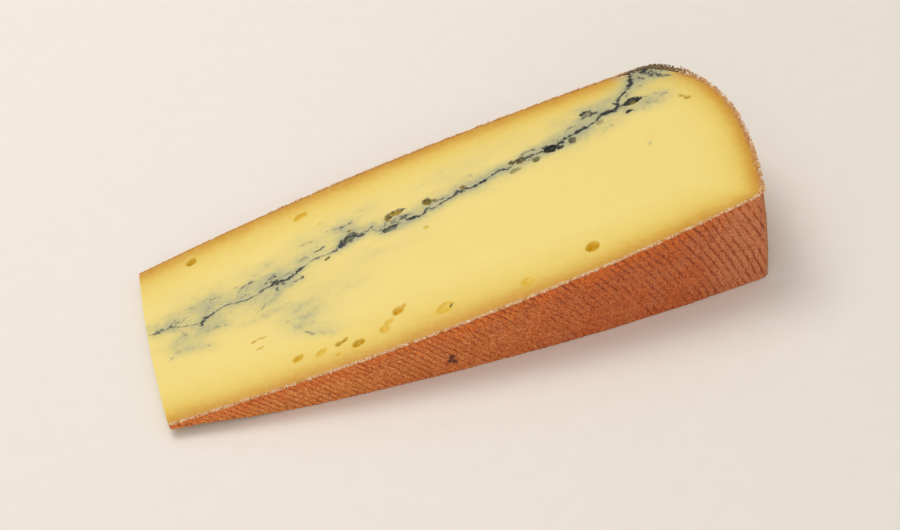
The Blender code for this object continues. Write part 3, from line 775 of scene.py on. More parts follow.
# %% The band round the ash, and the edges that the halves share with it and with the rind
BAND_HALF, BAND_SMOOTHING = 1.4, 11  # mm, and how many points of the ash line are averaged on each side
BAND_OVERLAP, BAND_SINK = 0.03, 0.03  # mm: the band laps under the halves, and lies lower there
KNEE_REACH = 141.0  # here the ash line turns steeply up to the back rind
MEETS_AFTER, MEETS_WITHIN = 400, 0.3  # the band ends past this point, where the rind is this close in mm
front_count, across_count, back_across_count, band_count, band_across = 484, 144, 96, 1040, 18

padded = np.pad(ash_line, ((BAND_SMOOTHING, BAND_SMOOTHING), (0, 0)), mode="reflect", reflect_type="odd")
weights = np.hanning(2 * BAND_SMOOTHING + 1)
weights /= weights.sum()
band_line = np.stack([np.convolve(padded[:, axis], weights, "valid") for axis in (0, 1)], axis=1)
band_line[0, 0] = tip_reach(band_line[0, 1])
from_rind = line_distance(band_line[:, 0], band_line[:, 1], inner)[0]
end = int(np.argmax(from_rind[MEETS_AFTER:] < MEETS_WITHIN)) + MEETS_AFTER
strays = line_distance(ash_line[:, 0], ash_line[:, 1], band_line)[0].max()
print(f"the line strays {strays:.2f} mm from the band's middle")


def band_edge(offset):
    """The band's middle line moved sideways, from the tip's edge to where it meets the rind."""
    edge = (band_line + offset * left_of(band_line))[: end + 1]
    edge[0, 0] = tip_reach(edge[0, 1])
    return edge


band_front, band_back = band_edge(-BAND_HALF), band_edge(BAND_HALF)
meets_front, meets_back = nearest(inner, *band_front[-1]), nearest(inner, *band_back[-1])
print(f"the band meets the rind at {band_line[end].round(1)}, columns {meets_front} to {meets_back}")


def tip_edge(start, end, shares):
    """The tip's own edge between two of its points, with a slightly uneven cut."""
    across = start[1] + (end[1] - start[1]) * shares
    uneven = 0.08 * noise(across / 5, 0.5, 9, octaves=2) * np.sin(math.pi * shares)
    return np.stack([tip_reach(across) + uneven, across], axis=1)


# %% The front half: rows lie closer together under the rind, where the eyes are, and near the ash
front_shares = np.interp(np.linspace(0, 1, across_count + 1), (0, 0.24, 0.58, 1), (0, 0.20, 0.68, 1))
rind_front = even_steps(inner[: corners[0] + 1], front_count)
ash_front = even_steps(band_front, front_count)
rind_side = np.concatenate([inner[corners[0] : meets_front], band_front[-1:]])
rind_side = along_line(rind_side, front_shares)
paste_front = paste_block(
    "front_paste", rind_front, ash_front, tip_edge(rind_front[0], ash_front[0], front_shares), rind_side,
)

# %% The back half
back_shares = np.interp(np.linspace(0, 1, back_across_count + 1), (0, 0.5, 1), (0, 0.36, 1))
knee = int(np.argmax(band_back[:, 0] > KNEE_REACH))
rind_back = even_steps(np.concatenate([band_back[-1:], inner[meets_back + 1 :]])[::-1], front_count)
ash_back = even_steps(band_back[: knee + 1], front_count)
ash_rise = along_line(band_back[knee:], back_shares)
paste_back = paste_block(
    "back_paste", ash_back, rind_back, tip_edge(ash_back[0], rind_back[0], back_shares), ash_rise,
)

# %% [markdown]
# ## The ash itself
#
# The film is a thin sheet that runs through the whole wedge, so it also shows on the tip and on the
# underside. On its own it would be a ribbon with hard edges. Real ash bleeds into the curd beside it, so we
# make one more block, a narrow band round the film with the finest grid of all, and let the vein values draw
# the ash in it. It wears the paste's material, so nobody sees where the band begins.

# %% The band: two edges just outside the halves' own, sunk by a hair where they overlap
wide_half = BAND_HALF + BAND_OVERLAP
wide_front, wide_back = (even_steps(band_edge(side * wide_half), band_count) for side in (-1, 1))
band_shares = np.linspace(0, 1, band_across + 1)
band_tip = tip_edge(wide_front[0], wide_back[0], band_shares)
band_end = wide_front[-1] + (wide_back[-1] - wide_front[-1]) * band_shares[:, None]
ash_piece = paste_block("ash_band", wide_front, wide_back, band_tip, band_end, sink=BAND_SINK)

# %% [markdown]
# ## The rind
#
# The wheel ripened on a ribbed mat and was rubbed with brine: the rind keeps slanting ribs, a powdery bloom
# on their crests, and dark grooves between them. Bump mapping would fake this until the light grazes it or
# the mesh is printed. So the rind is a real skin: a thin profile of four sides, outer face, torn top rim,
# inner face and bottom rim, carried round the outline, with its outer face pushed in and out.

# %% Grooves and ridges
RIDGE_PITCHES = (2.1, 2.0, 2.1)  # along x, at the tip, a third of the way, and towards the side
RIDGE_DEPTH, GROOVE_DEPTH, GRAIN, LUMPS = 0.24, 0.22, 0.09, 0.1  # mm
SIDE_PITCH, SIDE_RIBS = 1.5, 0.5  # the side's upright ribs: mm apart, and a share of the depth


def grooves(phase, width):
    """A narrow valley once a cycle: a bell about the middle of the phase's fractional part."""
    return bell(phase - np.floor(phase) - 0.5, width)


def rib_pattern(along, height):
    """0-1: valleys that slant down to the right, at 45 degrees near the tip and steeper towards the side.

    Each valley is a whole number of the phase, the integral of 1 / pitch over along + slant x height.
    """
    slant = np.interp(along, (0, 60, 140, 165), (1.0, 0.95, 0.53, 0.42))
    wander = 0.22 * noise(along / 9, height / 7, 21, octaves=2)
    wander = wander + 0.08 * noise(along / 1.4, height / 0.9, 20, octaves=2)
    ruler = np.linspace(-10, 230, 481)
    cycles = np.cumsum(0.5 / np.interp(ruler, (0, 60, 110), RIDGE_PITCHES))
    phase = np.interp(along + slant * height, ruler, cycles)
    uneven = 1 + 0.4 * noise(along / 1.6, height / 1.2, 19, octaves=2)
    width = np.interp(along, (55, 110), (0.1, 0.135)) * uneven
    low_down = rise(height / (TIP_HEIGHT + along * math.sin(CUT_ANGLE)), 0.75, 0.15)
    fade = np.interp(along, (0, 60, 85, 130, 150), (1.05, 1.0, 0.78, 0.66, 0.72))
    fade = fade - 0.3 * low_down * rise(along, 60, 80) * rise(along, 145, 120)
    patches = 0.45 * noise(along / 5, height / 4, 22, octaves=2)
    breaks = 0.4 * noise(along / 1.3, height / 1.6, 17)
    fade = fade + np.interp(along, (90, 140), (1.0, 0.6)) * (patches + breaks)
    fine = grooves(phase + wander, width) * np.clip(fade, 0.05, 1)
    broad = grooves(phase / 2.5 + wander * 0.6, 0.05)
    broad = broad * rise(along, 95, 55) * np.clip(0.4 + 0.6 * noise(along / 8, height / 6, 23), 0, 1)
    return fine, broad


valleys, _ = rib_pattern(np.linspace(0, 60, 1201), 5.0)
print(f"near the tip, valleys take up {(valleys > 0.5).mean():.0%} of the face")

# %% The specks and the pit on the front face: reach, height, radius, depth
SPOTS = (
    (73.3, 5.2, 1.0, 0.45), (72.7, 4.0, 0.8, 0.4), (73.9, 3.6, 0.9, 0.4), (3.7, 2.1, 0.35, 0.3),
    (2.0, 2.5, 0.3, 0.2), (8.2, 1.7, 0.4, 0.3), (15.5, 0.7, 0.35, 0.3), (15.8, 1.6, 0.25, 0.2),
    (29.5, 1.4, 0.3, 0.2), (40.7, 2.7, 0.35, 0.25), (94.0, 14.5, 0.3, 0.2),
)


def spots(along, height, front):
    """Depth in mm and darkness (0-1) of the small dark pits, each a bell curve of its radius."""
    depth, dark = np.zeros(along.shape), np.zeros(along.shape)
    for spot_reach, spot_height, radius, full in SPOTS:
        r = np.hypot(along - spot_reach, height - spot_height) / radius
        r = r * (1 + 0.35 * noise(along / 0.7, height / 0.7, 24))
        depth = np.maximum(depth, full * np.exp(-(r**2)) * front)
        dark = np.maximum(dark, rise(r, 1.3, 0.4) * front)
    return depth, dark


print(len(SPOTS), "specks, the deepest", max(spot[3] for spot in SPOTS), "mm")

# %% The outer face, pushed in and out
RIND_ROWS = 74
turn = np.linspace(0, 1, RIND_ROWS + 1)[None]
gone, side_share, front_share = travelled[:, None], on_side[:, None], on_front[:, None]
base = place(outer[:, :1], outer[:, 1:], turn)
height = base[..., 2]
along = base[..., 0] - TIP_X
fine, broad = rib_pattern(along, height)
ring_ribs = grooves(outer[:, 1:] / SIDE_PITCH + 0.25 * noise(gone / 6, height / 9, 18, octaves=2), 0.2)
fine = fine * (1 - side_share) + SIDE_RIBS * ring_ribs * side_share
broad = broad * (1 - side_share)
grain = noise(gone / 0.55, height / 0.5, 25, octaves=2)
lumps = noise(gone / 7, height / 6, 26, octaves=2)
pit_depth, pit_dark = spots(along, height, front_share * (1 - side_share))
out = LUMPS * lumps + GRAIN * grain - RIDGE_DEPTH * fine - GROOVE_DEPTH * broad - pit_depth
print(f"the rind's face stands {out.min():.2f} to {out.max():.2f} mm off the outline")

# %% The torn rim, and the profile of one column
TEAR_UP, TEAR, BITE = 0.12, 0.2, 0.18  # mm that the torn rim stands up, swings by, and is bitten away
NOTCH, BEVEL, TUCK = 0.2, 0.12, 0.05  # mm: valleys notch the rim, and both of its edges lie lower
tear = noise(gone / 0.5, 0.5, 27, octaves=3)
bite = rise(noise(gone / 2.6, 0.5, 28, octaves=2), 0.1, 0.9)
clean = 0.6 * rise(-outer[:, :1], -30, -10) * (1 - front_share)  # the back of the tip is cut cleaner
torn = (0.35 + 0.65 * front_share + 0.3 * side_share) * (1 - clean)
rim_lift = torn * (TEAR_UP + TEAR * tear - BITE * bite)
rim_shares = np.array([[0.12, 0.35, 0.6, 0.85]])
rim_waves = cut_relief(inner[:, 0], inner[:, 1])[:, None]
steps_up = np.array([[1.0, 0.5, 0.0]])
RIM, DOWN = RIND_ROWS + 1, RIND_ROWS + 1 + rim_shares.shape[1]

whole = thickness[:, None]
skin = np.concatenate([-out, whole * rim_shares, whole + 0 * steps_up, whole * 0.5], axis=1)
level = np.concatenate([turn, 0 * rim_shares + 1, steps_up, np.zeros((1, 1))], axis=1) + 0 * gone
lift = np.zeros(level.shape)
lift[:, RIND_ROWS] = (rim_lift - NOTCH * fine[:, -1:] - BEVEL)[:, 0]
crumbly = 0.2 + 0.1 * at_back_corner[:, None]
rough = noise(outer[:, :1] / 0.45 + rim_shares * whole * 3, outer[:, 1:] / 0.45, 29, octaves=2)
lift[:, RIM:DOWN] = rim_lift + torn * crumbly * rough - NOTCH * fine[:, -1:] * (1 - rim_shares)
lift[:, DOWN] = -TUCK
lift += np.where(level == 1.0, rim_waves, 0.0)
rind_points = place(outer[:, :1] - outward[:, :1] * skin, outer[:, 1:] - outward[:, 1:] * skin, level, lift)
print(f"the torn rim stands {rim_lift.min():.2f} to {rim_lift.max():.2f} mm off the cut")

# %% What the rind's material reads
groove_value, rim_value, below_value, spot_value = (np.zeros(level.shape) for _ in range(4))
groove_value[:, :RIM] = np.clip(fine + 0.9 * broad, 0, 1)
spot_value[:, :RIM] = pit_dark
below_top = (AXIS_BEYOND + outer[:, :1]) * (1 - turn) * CUT_ANGLE
below_value[:, :RIM] = below_top / 10
rim_value[:, :RIM] = rise(below_top + 0.2 * tear, 0.5, 0.05)
rim_value[:, RIM:] = 1.0
fringe = np.clip(front_share * (1 - 0.75 * side_share), 0, 1) + 0 * level
ASH_OUTLET = (154.5, 32.0)  # the ash comes out through the rind about here and darkens it
ash_gap = np.hypot(outer[:, :1] - ASH_OUTLET[0], (outer[:, 1:] - ASH_OUTLET[1]) * 1.4)
rim_cloud = noise(gone / 4, height / 4, 30, octaves=2).mean(axis=1, keepdims=True)
face_cloud = noise(gone / 3, height / 3, 35, octaves=2)
stained = rise(ash_gap + 2.0 * rim_cloud, 8, 3) + 0 * level
stained[:, :RIM] = rise(ash_gap + 2.0 * face_cloud, 6, 1) * (0.25 + 0.75 * rise(below_top, 7, 0.5))
rind_values = {
    "groove": groove_value, "rim": rim_value, "below": below_value, "spot": spot_value,
    "fringe": fringe, "stained": stained, "side": side_share + 0 * level,
    "corner": at_back_corner[:, None] + 0 * level,
}
rind_ids = grid_ids(*level.shape)
rind_belt = np.concatenate([rind_ids, rind_ids[:, :1]], axis=1)
rind_piece = put_mesh(
    "rind_skin", rind_points.reshape(-1, 3), grid_quads(rind_belt), rings=[rind_ids[0], rind_ids[-1, ::-1]],
    values=rind_values, sharp=75,
)

# %% [markdown]
# ## Crumbs
#
# The knife tears the brittle rind, so a pale fringe of crumbs stands along the front edge, a hairline of them
# along the back one, and browner ones along the side. Particles would vanish in the export, and instances
# too. So each kind is one mesh: a lump of twelve points and twenty faces, repeated as an array, each copy
# turned, stretched and dented on its own.

# %% Many lumps as one mesh
RING_LATITUDE = math.atan(0.5)  # an icosahedron: two rings of five points and two poles


def lump_shape():
    """The points of a unit icosahedron, its two rings turned by half a step, and its twenty faces."""
    upper, lower = np.arange(5), np.arange(5, 10)
    next_upper, next_lower = np.roll(upper, -1), np.roll(lower, -1)
    top, bottom = np.full(5, 10), np.full(5, 11)
    angles = upper * 2 * math.pi / 5
    out, up = math.cos(RING_LATITUDE), math.sin(RING_LATITUDE)
    high = np.column_stack([np.cos(angles) * out, np.sin(angles) * out, np.full(5, up)])
    angles = angles + math.pi / 5
    low = np.column_stack([np.cos(angles) * out, np.sin(angles) * out, np.full(5, -up)])
    faces = [
        (upper, next_upper, top), (lower, next_upper, upper),
        (lower, next_lower, next_upper), (bottom, next_lower, lower),
    ]
    points = np.concatenate([high, low, [[0, 0, 1], [0, 0, -1]]])
    return points, np.concatenate([np.stack(face, axis=1) for face in faces])


def scatter_lumps(name, centres, sizes, seed, upright=0.0, values=None):
    """One lump at each centre: p = centre + turn (size x point x (1 + dent)), turned by a random quaternion.

    The larger upright is, the closer each lump's long axis stays to the vertical.
    """
    draw = np.random.default_rng(seed)
    points, faces = lump_shape()
    w, x, y, z = draw.normal(size=(4, len(centres)))
    w = w + upright
    w, x, y, z = np.array([w, x, y, z]) / np.sqrt(w * w + x * x + y * y + z * z)
    turns = np.array([
        [1 - 2 * (y * y + z * z), 2 * (x * y - z * w), 2 * (x * z + y * w)],
        [2 * (x * y + z * w), 1 - 2 * (x * x + z * z), 2 * (y * z - x * w)],
        [2 * (x * z - y * w), 2 * (y * z + x * w), 1 - 2 * (x * x + y * y)],
    ])
    dents = 1 + draw.uniform(-0.3, 0.3, (len(centres), len(points), 1))
    shaped = points[None] * dents * sizes[:, None]
    placed = centres[:, None] + np.einsum("ijn,nkj->nki", turns, shaped)
    ids = (faces[None] + len(points) * np.arange(len(centres))[:, None, None]).reshape(-1, 3)
    each = {"tone": draw.uniform(0, 1, len(centres)), **(values or {})}
    each = {key: np.repeat(array, len(points)) for key, array in each.items()}
    return put_mesh(name, placed.reshape(-1, 3), (), ids, values=each, sharp=80)


print("points and faces of a lump:", *(len(part) for part in lump_shape()))

# %% Places along the rim
CLUMPING, LOOSE = 0.9, 0.7  # how strongly crumbs gather, and how many of them don't
SPARE = 4  # places that are drawn for each one that is kept
draw = np.random.default_rng(41)
columns = np.arange(len(outer))


def rim_places(count, first, last, over, lift, clump):
    """Random places on the upper rim between two columns; over = shares of the rind's thickness, inwards.

    They gather where noise of the clump's size is high. The columns that they stand on come back as well.
    """
    where = draw.uniform(first, last, count * SPARE)
    at = np.interp(where, columns, travelled)
    gathered = CLUMPING * noise(at / clump, 0.5, 31, octaves=2)
    where = where[gathered + draw.uniform(-LOOSE, LOOSE, count * SPARE) > 0][:count]
    inward = draw.uniform(*over, len(where)) * np.interp(where, columns, thickness)
    reach, across = (
        np.interp(where, columns, outer[:, axis]) - np.interp(where, columns, outward[:, axis]) * inward
        for axis in (0, 1)
    )
    return place(reach, across, 1.0, draw.uniform(*lift, len(where)) + slow_waves(reach, across)), where


def lump_sizes(count, small, large, stretch):
    """Half sizes in mm along three axes, the last one stretched."""
    sizes = draw.uniform(small, large, (count, 1)) * draw.uniform(0.6, 1.4, (count, 3))
    return sizes * (1, 1, stretch)


print("the rim has", len(columns), "columns that crumbs can stand on")

# %% Pale crumbs: how many, the first and last column, how far in, how high, and the size of a clump
STANDING = (2900, 0, corners[0] + 8, (-0.5, 0.9), (-0.04, 0.22), 1.1)
CHIPS = (40, nearest(outer, 167, 17), nearest(outer, 163, 26), (0.2, 1.2), (0.1, 0.4), 0.8)
THREAD = (60, nearest(outer, 150.5, 33), nearest(outer, 145, 34), (2.2, 2.9), (0.0, 0.06), 9.0)
HAIRLINE = (1500, nearest(outer, 150, 33), nearest(outer, 40, 33), (-0.3, 0.5), (0.02, 0.16), 1.8)
standing, chips, thread, hairline = (rim_places(*row)[0] for row in (STANDING, CHIPS, THREAD, HAIRLINE))
fringe_parts = (standing, hairline, thread, chips)
fringe_places = np.concatenate(fringe_parts)
fringe_sizes = lump_sizes(len(fringe_places), 0.07, 0.23, 1.3)
fringe_sizes *= np.repeat((1.0, 0.8, 1.0, 1.3), [len(part) for part in fringe_parts])[:, None]
fringe_crumbs = scatter_lumps("fringe_crumbs", fringe_places, fringe_sizes, 42)

# %% Brown crumbs, the same way, with their smallest and largest size and their stretch
ON_SIDE = (1500, corners[0], corners[1] - 22, (-0.75, 0.8), (-0.1, 0.3), 0.9)
ON_CORNER = (750, corners[1] - 40, corners[1] + 20, (-0.25, 0.75), (-0.06, 0.16), 1.0)
ON_BACK = (160, corners[1] + 14, len(outer) - 60, (0.3, 0.9), (-0.08, 0.0), 2.0)
BROWN_SIZES = ((0.06, 0.18, 1.9), (0.08, 0.22, 1.1), (0.05, 0.1, 1.0))
brown_parts = [rim_places(*row) for row in (ON_SIDE, ON_CORNER, ON_BACK)]
brown_places, brown_columns = (np.concatenate(arrays) for arrays in zip(*brown_parts))
brown_sizes = [lump_sizes(len(places), *row) for (places, _), row in zip(brown_parts, BROWN_SIZES)]
brown_sizes = np.concatenate(brown_sizes)
grey = np.clip(1.2 * np.sqrt(at_back_corner) + 0.5 * stained[:, -1], 0, 1)
grey = np.interp(brown_columns, columns, grey)
brown_crumbs = scatter_lumps(
    "rind_crumbs", brown_places, brown_sizes, 43, upright=0.8, values={"grey": grey},
)

# %% [markdown]
# ## Shader sums as Python
#
# A node tree is hard to read when it is wired by hand. We wrap a socket in a small class whose +, -, * and /
# each add one Math node, so a formula in Python becomes a formula in the shader. Colours never go through
# Math nodes, which would turn them grey: they are mixed by one method.


# %% A socket that can be added and multiplied
class Wire:
    """An output socket that Python's sums work on."""

    def __init__(self, finish, socket):
        self.finish, self.socket = finish, socket

    def maths(self, operation, *others):
        inputs = dict(enumerate((self, *others)))
        return self.finish.node("ShaderNodeMath", {"operation": operation}, inputs)

    def __add__(self, other):
        return self.maths("ADD", other)

    def __mul__(self, other):
        return self.maths("MULTIPLY", other)

    def __sub__(self, other):
        return self.maths("SUBTRACT", other)

    def __truediv__(self, other):
        return self.maths("DIVIDE", other)

    def __rsub__(self, other):
        return self.finish.node("ShaderNodeMath", {"operation": "SUBTRACT"}, {0: other, 1: self})

    def __rtruediv__(self, other):
        return self.finish.node("ShaderNodeMath", {"operation": "DIVIDE"}, {0: other, 1: self})

    __radd__, __rmul__ = __add__, __mul__

    def rise(self, low, high):
        """0 below low, 1 above high, smooth between: a Map Range node."""
        ends = (low, high, 0.0, 1.0) if low < high else (high, low, 1.0, 0.0)
        inputs = dict(enumerate((self, *ends)))
        return self.finish.node("ShaderNodeMapRange", {"interpolation_type": "SMOOTHSTEP"}, inputs)


print("sums that work both ways round:", [name for name in vars(Wire) if name.startswith("__r")])

# %% A material, and the one way to add a node to it
OBJECT_COORDINATES, FACTOR, COLOUR_MIX = 3, 2, 2  # output numbers of Texture Coordinate, Attribute and Mix


class Finish:
    """A material built node by node."""

    def __init__(self, name):
        self.material = bpy.data.materials.new(name)
        self.material.use_nodes = True
        self.tree = self.material.node_tree
        self.shader = self.tree.nodes["Principled BSDF"]
        self.where = self.node("ShaderNodeTexCoord", output=OBJECT_COORDINATES)

    def node(self, kind, settings=None, inputs=None, output=0):
        """Adds a node: settings first (stops fill a ramp), then each input's value or link."""
        made = self.tree.nodes.new(kind)
        for key, value in (settings or {}).items():
            if key == "stops":
                self.fill_ramp(made.color_ramp, value)
            else:
                setattr(made, key, value)
        for key, value in (inputs or {}).items():
            self.feed(made.inputs[key], value)
        return Wire(self, made.outputs[output])

    def feed(self, socket, value):
        """Links a wire to a socket, or sets the socket's own value."""
        if isinstance(value, Wire):
            self.tree.links.new(value.socket, socket)
        else:
            socket.default_value = value

    @staticmethod
    def fill_ramp(ramp, stops):
        """Gives a colour ramp its stops, as (position, colour) pairs."""
        while len(ramp.elements) < len(stops):
            ramp.elements.new(0.5)
        for element, (position, colour) in zip(ramp.elements, stops):
            element.position, element.color = position, colour

    def mix(self, factor, first, second):
        """Mixes two colours by a factor."""
        settings = {"data_type": "RGBA", "clamp_factor": True}
        return self.node("ShaderNodeMix", settings, {0: factor, 6: first, 7: second}, output=COLOUR_MIX)

    def layers(self, colour, *over):
        """Lays colours over one another: each layer is how much of it there is, and its colour."""
        for share, upper in over:
            colour = self.mix(share, colour, upper)
        return colour

    def value(self, name):
        """A value that is stored on the mesh."""
        return self.node("ShaderNodeAttribute", {"attribute_name": name}, output=FACTOR)

    def grain(self, size, detail=2.0, roughness=0.5, distortion=0.0, where=None):
        """Noise of 0-1 with bumps of about a size in mm, on Object coordinates or on others."""
        inputs = {
            "Vector": where or self.where, "Scale": 1 / (size * MM), "Detail": detail,
            "Roughness": roughness, "Distortion": distortion,
        }
        return self.node("ShaderNodeTexNoise", {}, inputs)

    def bump(self, height, distance):
        """A Bump node: height 0-1 stands for a distance in mm."""
        inputs = {"Height": height, "Distance": distance * MM, "Strength": 1.0}
        return self.node("ShaderNodeBump", {}, inputs)

    def soften(self, weight, radius, scale):
        """Lets light scatter under the surface, by a scale in mm times a radius for red, green and blue."""
        self.feed(self.shader.inputs["Subsurface Weight"], weight)
        self.feed(self.shader.inputs["Subsurface Radius"], radius)
        self.feed(self.shader.inputs["Subsurface Scale"], scale * MM)

    def dress(self, piece, **sockets):
        """Feeds the Principled shader and gives the material to a piece."""
        for key, value in sockets.items():
            self.feed(self.shader.inputs[key.replace("_", " ")], value)
        piece.data.materials.append(self.material)


print("a finish can", [name for name in vars(Finish) if not name.startswith("_")])


# %% Screen colours in linear light
def srgb(red, green, blue):
    """A screen colour of 0-255 in the shaders' linear light: c/12.92, or ((c + 0.055)/1.055)^2.4."""
    shares = [channel / 255 for channel in (red, green, blue)]
    linear = [c / 12.92 if c <= 0.04045 else ((c + 0.055) / 1.055) ** 2.4 for c in shares]
    return (*linear, 1.0)


print("mid grey, 128, is", round(srgb(128, 128, 128)[0], 3), "in linear light")

# %% [markdown]
# ## Paste
#
# Ripe paste is a warm pale yellow, deeper and browner in the last centimetre under the rind, where it dries.
# Light goes a millimetre or two into it, which softens everything, so the shader scatters under the
# surface. The colour is built in layers: depth under the rind, faint clouding, the grey-green stain, the
# veins, and the eyes, whose walls look a deeper gold because light bounces inside them.

# %% The paste's colours
UNDER_RIND = (  # mm under the rind, and the colour there
    (0.0, (206, 146, 34)), (1.0, (210, 154, 40)), (2.2, (217, 168, 54)), (3.5, (225, 184, 72)),
    (5.0, (231, 196, 86)), (7.0, (236, 206, 102)), (11.0, (240, 213, 116)), (16.0, (242, 217, 126)),
)
RAMP_SPAN = 18.0
PASTE_IOR = 1.42  # between water and fat
PALE_CLOUD, DEEP_CLOUD = srgb(247, 226, 146), srgb(228, 198, 104)
STAIN_COLOUR, STAIN_BLUE = srgb(206, 193, 128), srgb(167, 166, 134)
VEIN_COLOUR, VEIN_FAINT = srgb(40, 42, 41), srgb(122, 120, 96)
# Gold is painted bounce light inside the eyes; black is ash and painted shade; olive and grey are ash.
EYE_TINTS = (  # the tint of an eye, and its colour
    (0.0, (231, 185, 24)), (0.33, (154, 130, 42)), (0.67, (134, 135, 112)), (1.0, (36, 26, 16)),
)
print("the paste turns from brown to yellow in", UNDER_RIND[-1][0], "mm")


# %% Paste material
def paste_finish(name):
    """The paste's material."""
    paste = Finish(name)
    cloud = paste.grain(9.0, detail=3.0)
    fine_cloud = paste.grain(1.6, detail=3.0)
    depth = paste.value("under_rind") * 10 + (cloud - 0.5) * 1.6 + (fine_cloud - 0.5) * 0.5
    stops = [(mm / RAMP_SPAN, srgb(*rgb)) for mm, rgb in UNDER_RIND]
    colour = paste.node("ShaderNodeValToRGB", {"stops": stops}, {"Fac": depth / RAMP_SPAN})

    blot = paste.grain(0.8, detail=4.0, roughness=0.6)
    thread = paste.grain(0.55, detail=4.0, roughness=0.7)
    stain = paste.value("stain") * (0.75 + blot * 0.5 + (fine_cloud - 0.5) * 0.6)
    vein, lining = (
        paste.value(mark) + (grain - 0.5) * 1.3 * paste.value(mark).rise(low, 0.4)
        for mark, grain, low in (("vein", thread, 0.08), ("lining", blot, 0.05))
    )
    tint = paste.value("tint")
    tint = tint + (blot - 0.5) * (0.35 + tint.rise(-0.05, 0.15) - tint.rise(0.5, 0.7) * 0.75)
    stops = [(shade, srgb(*rgb)) for shade, rgb in EYE_TINTS]
    inside = paste.node("ShaderNodeValToRGB", {"stops": stops}, {"Fac": tint})
    colour = paste.layers(
        colour,
        ((fine_cloud - 0.45) * 0.4, PALE_CLOUD),
        ((cloud - 0.52) * 0.5, DEEP_CLOUD),
        (stain.rise(0.02, 0.75) * 0.85, STAIN_COLOUR),
        (stain.rise(0.42, 0.98) * 0.7, STAIN_BLUE),
        (vein.rise(0.1, 0.6) * 0.85, VEIN_FAINT),
        (vein.rise(0.42, 0.9), VEIN_COLOUR),
        # Eyes: gold is painted bounce light, black is ash and painted shade, olive and grey are ash.
        (paste.value("eye") * 0.95, inside),
        (lining.rise(0.1, 0.6) * 0.6, VEIN_FAINT),
        (lining.rise(0.38, 0.95), VEIN_COLOUR),
    )

    skin = paste.grain(0.5, detail=3.0)
    normal = paste.bump(skin * 0.7 + paste.grain(2.5) * 0.3, 0.05)
    roughness = 0.42 + (fine_cloud - 0.5) * 0.16 + vein.rise(0.2, 0.8) * 0.2
    paste.soften(0.3, (1.0, 0.8, 0.5), 1.0)
    paste.feed(paste.shader.inputs["IOR"], PASTE_IOR)
    return paste, {"Base_Color": colour, "Roughness": roughness, "Normal": normal}


for piece in (paste_front, paste_back, ash_piece):
    paste, sockets = paste_finish(f"{piece.name}_cheese")
    paste.dress(piece, **sockets)
    print(piece.name, "is dressed with", len(paste.tree.nodes), "nodes")

# %% [markdown]
# ## Rind
#
# Seen close, the rind is a patchwork: red-brown in the grooves, orange where it is bare under the torn edge,
# dusty pink where the bloom is thick, and everywhere powdery. Towards the tip it is more orange, towards the
# side redder. Each of these is one layer of colour, driven by the values that the mesh carries.

# %% What the rind's layers are mixed by
rind = Finish("washed_rind")
x, y, z = (rind.node("ShaderNodeSeparateXYZ", {}, {"Vector": rind.where}, output=axis) for axis in range(3))
along_ridges = rind.node("ShaderNodeCombineXYZ", {}, {0: x + z * 0.65, 1: y, 2: z * 0.4})
reach_share = (x / MM - TIP_X) / REACH
patches = rind.grain(6.0, detail=3.0, distortion=0.4)
powder = rind.grain(0.34, detail=2.0, roughness=0.7) * 0.5
powder = powder + rind.grain(0.36, roughness=0.65, where=along_ridges) * 0.5
flakes = rind.grain(1.1, detail=4.0, roughness=0.6)
mottle = rind.grain(1.7, detail=4.0, roughness=0.65, distortion=0.6)
ribs, side_value, corner_value = (rind.value(name) for name in ("groove", "side", "corner"))
bloom = patches * 0.6 + flakes * 0.3 + reach_share * 0.25 + reach_share.rise(0.82, 0.97) * 0.3
bare = rind.value("below") * 10 + (flakes - 0.5) * 4 + (patches - 0.5) * 12
groove = ribs + (flakes - 0.5) * 0.6 * ribs.rise(0.0, 0.4)
veil = flakes * 0.8 + powder * 0.4 + reach_share.rise(0.78, 0.93) * 0.3 - ribs * 0.5
# dusk and rim_dusk turn the rind grey where ash has come through it, and darker towards the back corner.
dusk = rind.value("stained") * 0.7 + corner_value * rind.value("below").rise(0.8, 0.1) * 0.6
rim_dusk = rind.value("stained") * 0.9 + corner_value.rise(0.02, 0.5)
cream = rind.value("fringe").rise(0.3, 0.9) * (0.35 + powder * 0.9)
print("rind has", len(rind.tree.nodes), "nodes before its colours")


# %% The rind's colours, from the bare skin up
def towards_side(share, near_tip, near_side):
    """A colour that changes from the tip towards the wheel's side, by a share of 0-1."""
    return rind.mix(share, srgb(*near_tip), srgb(*near_side))


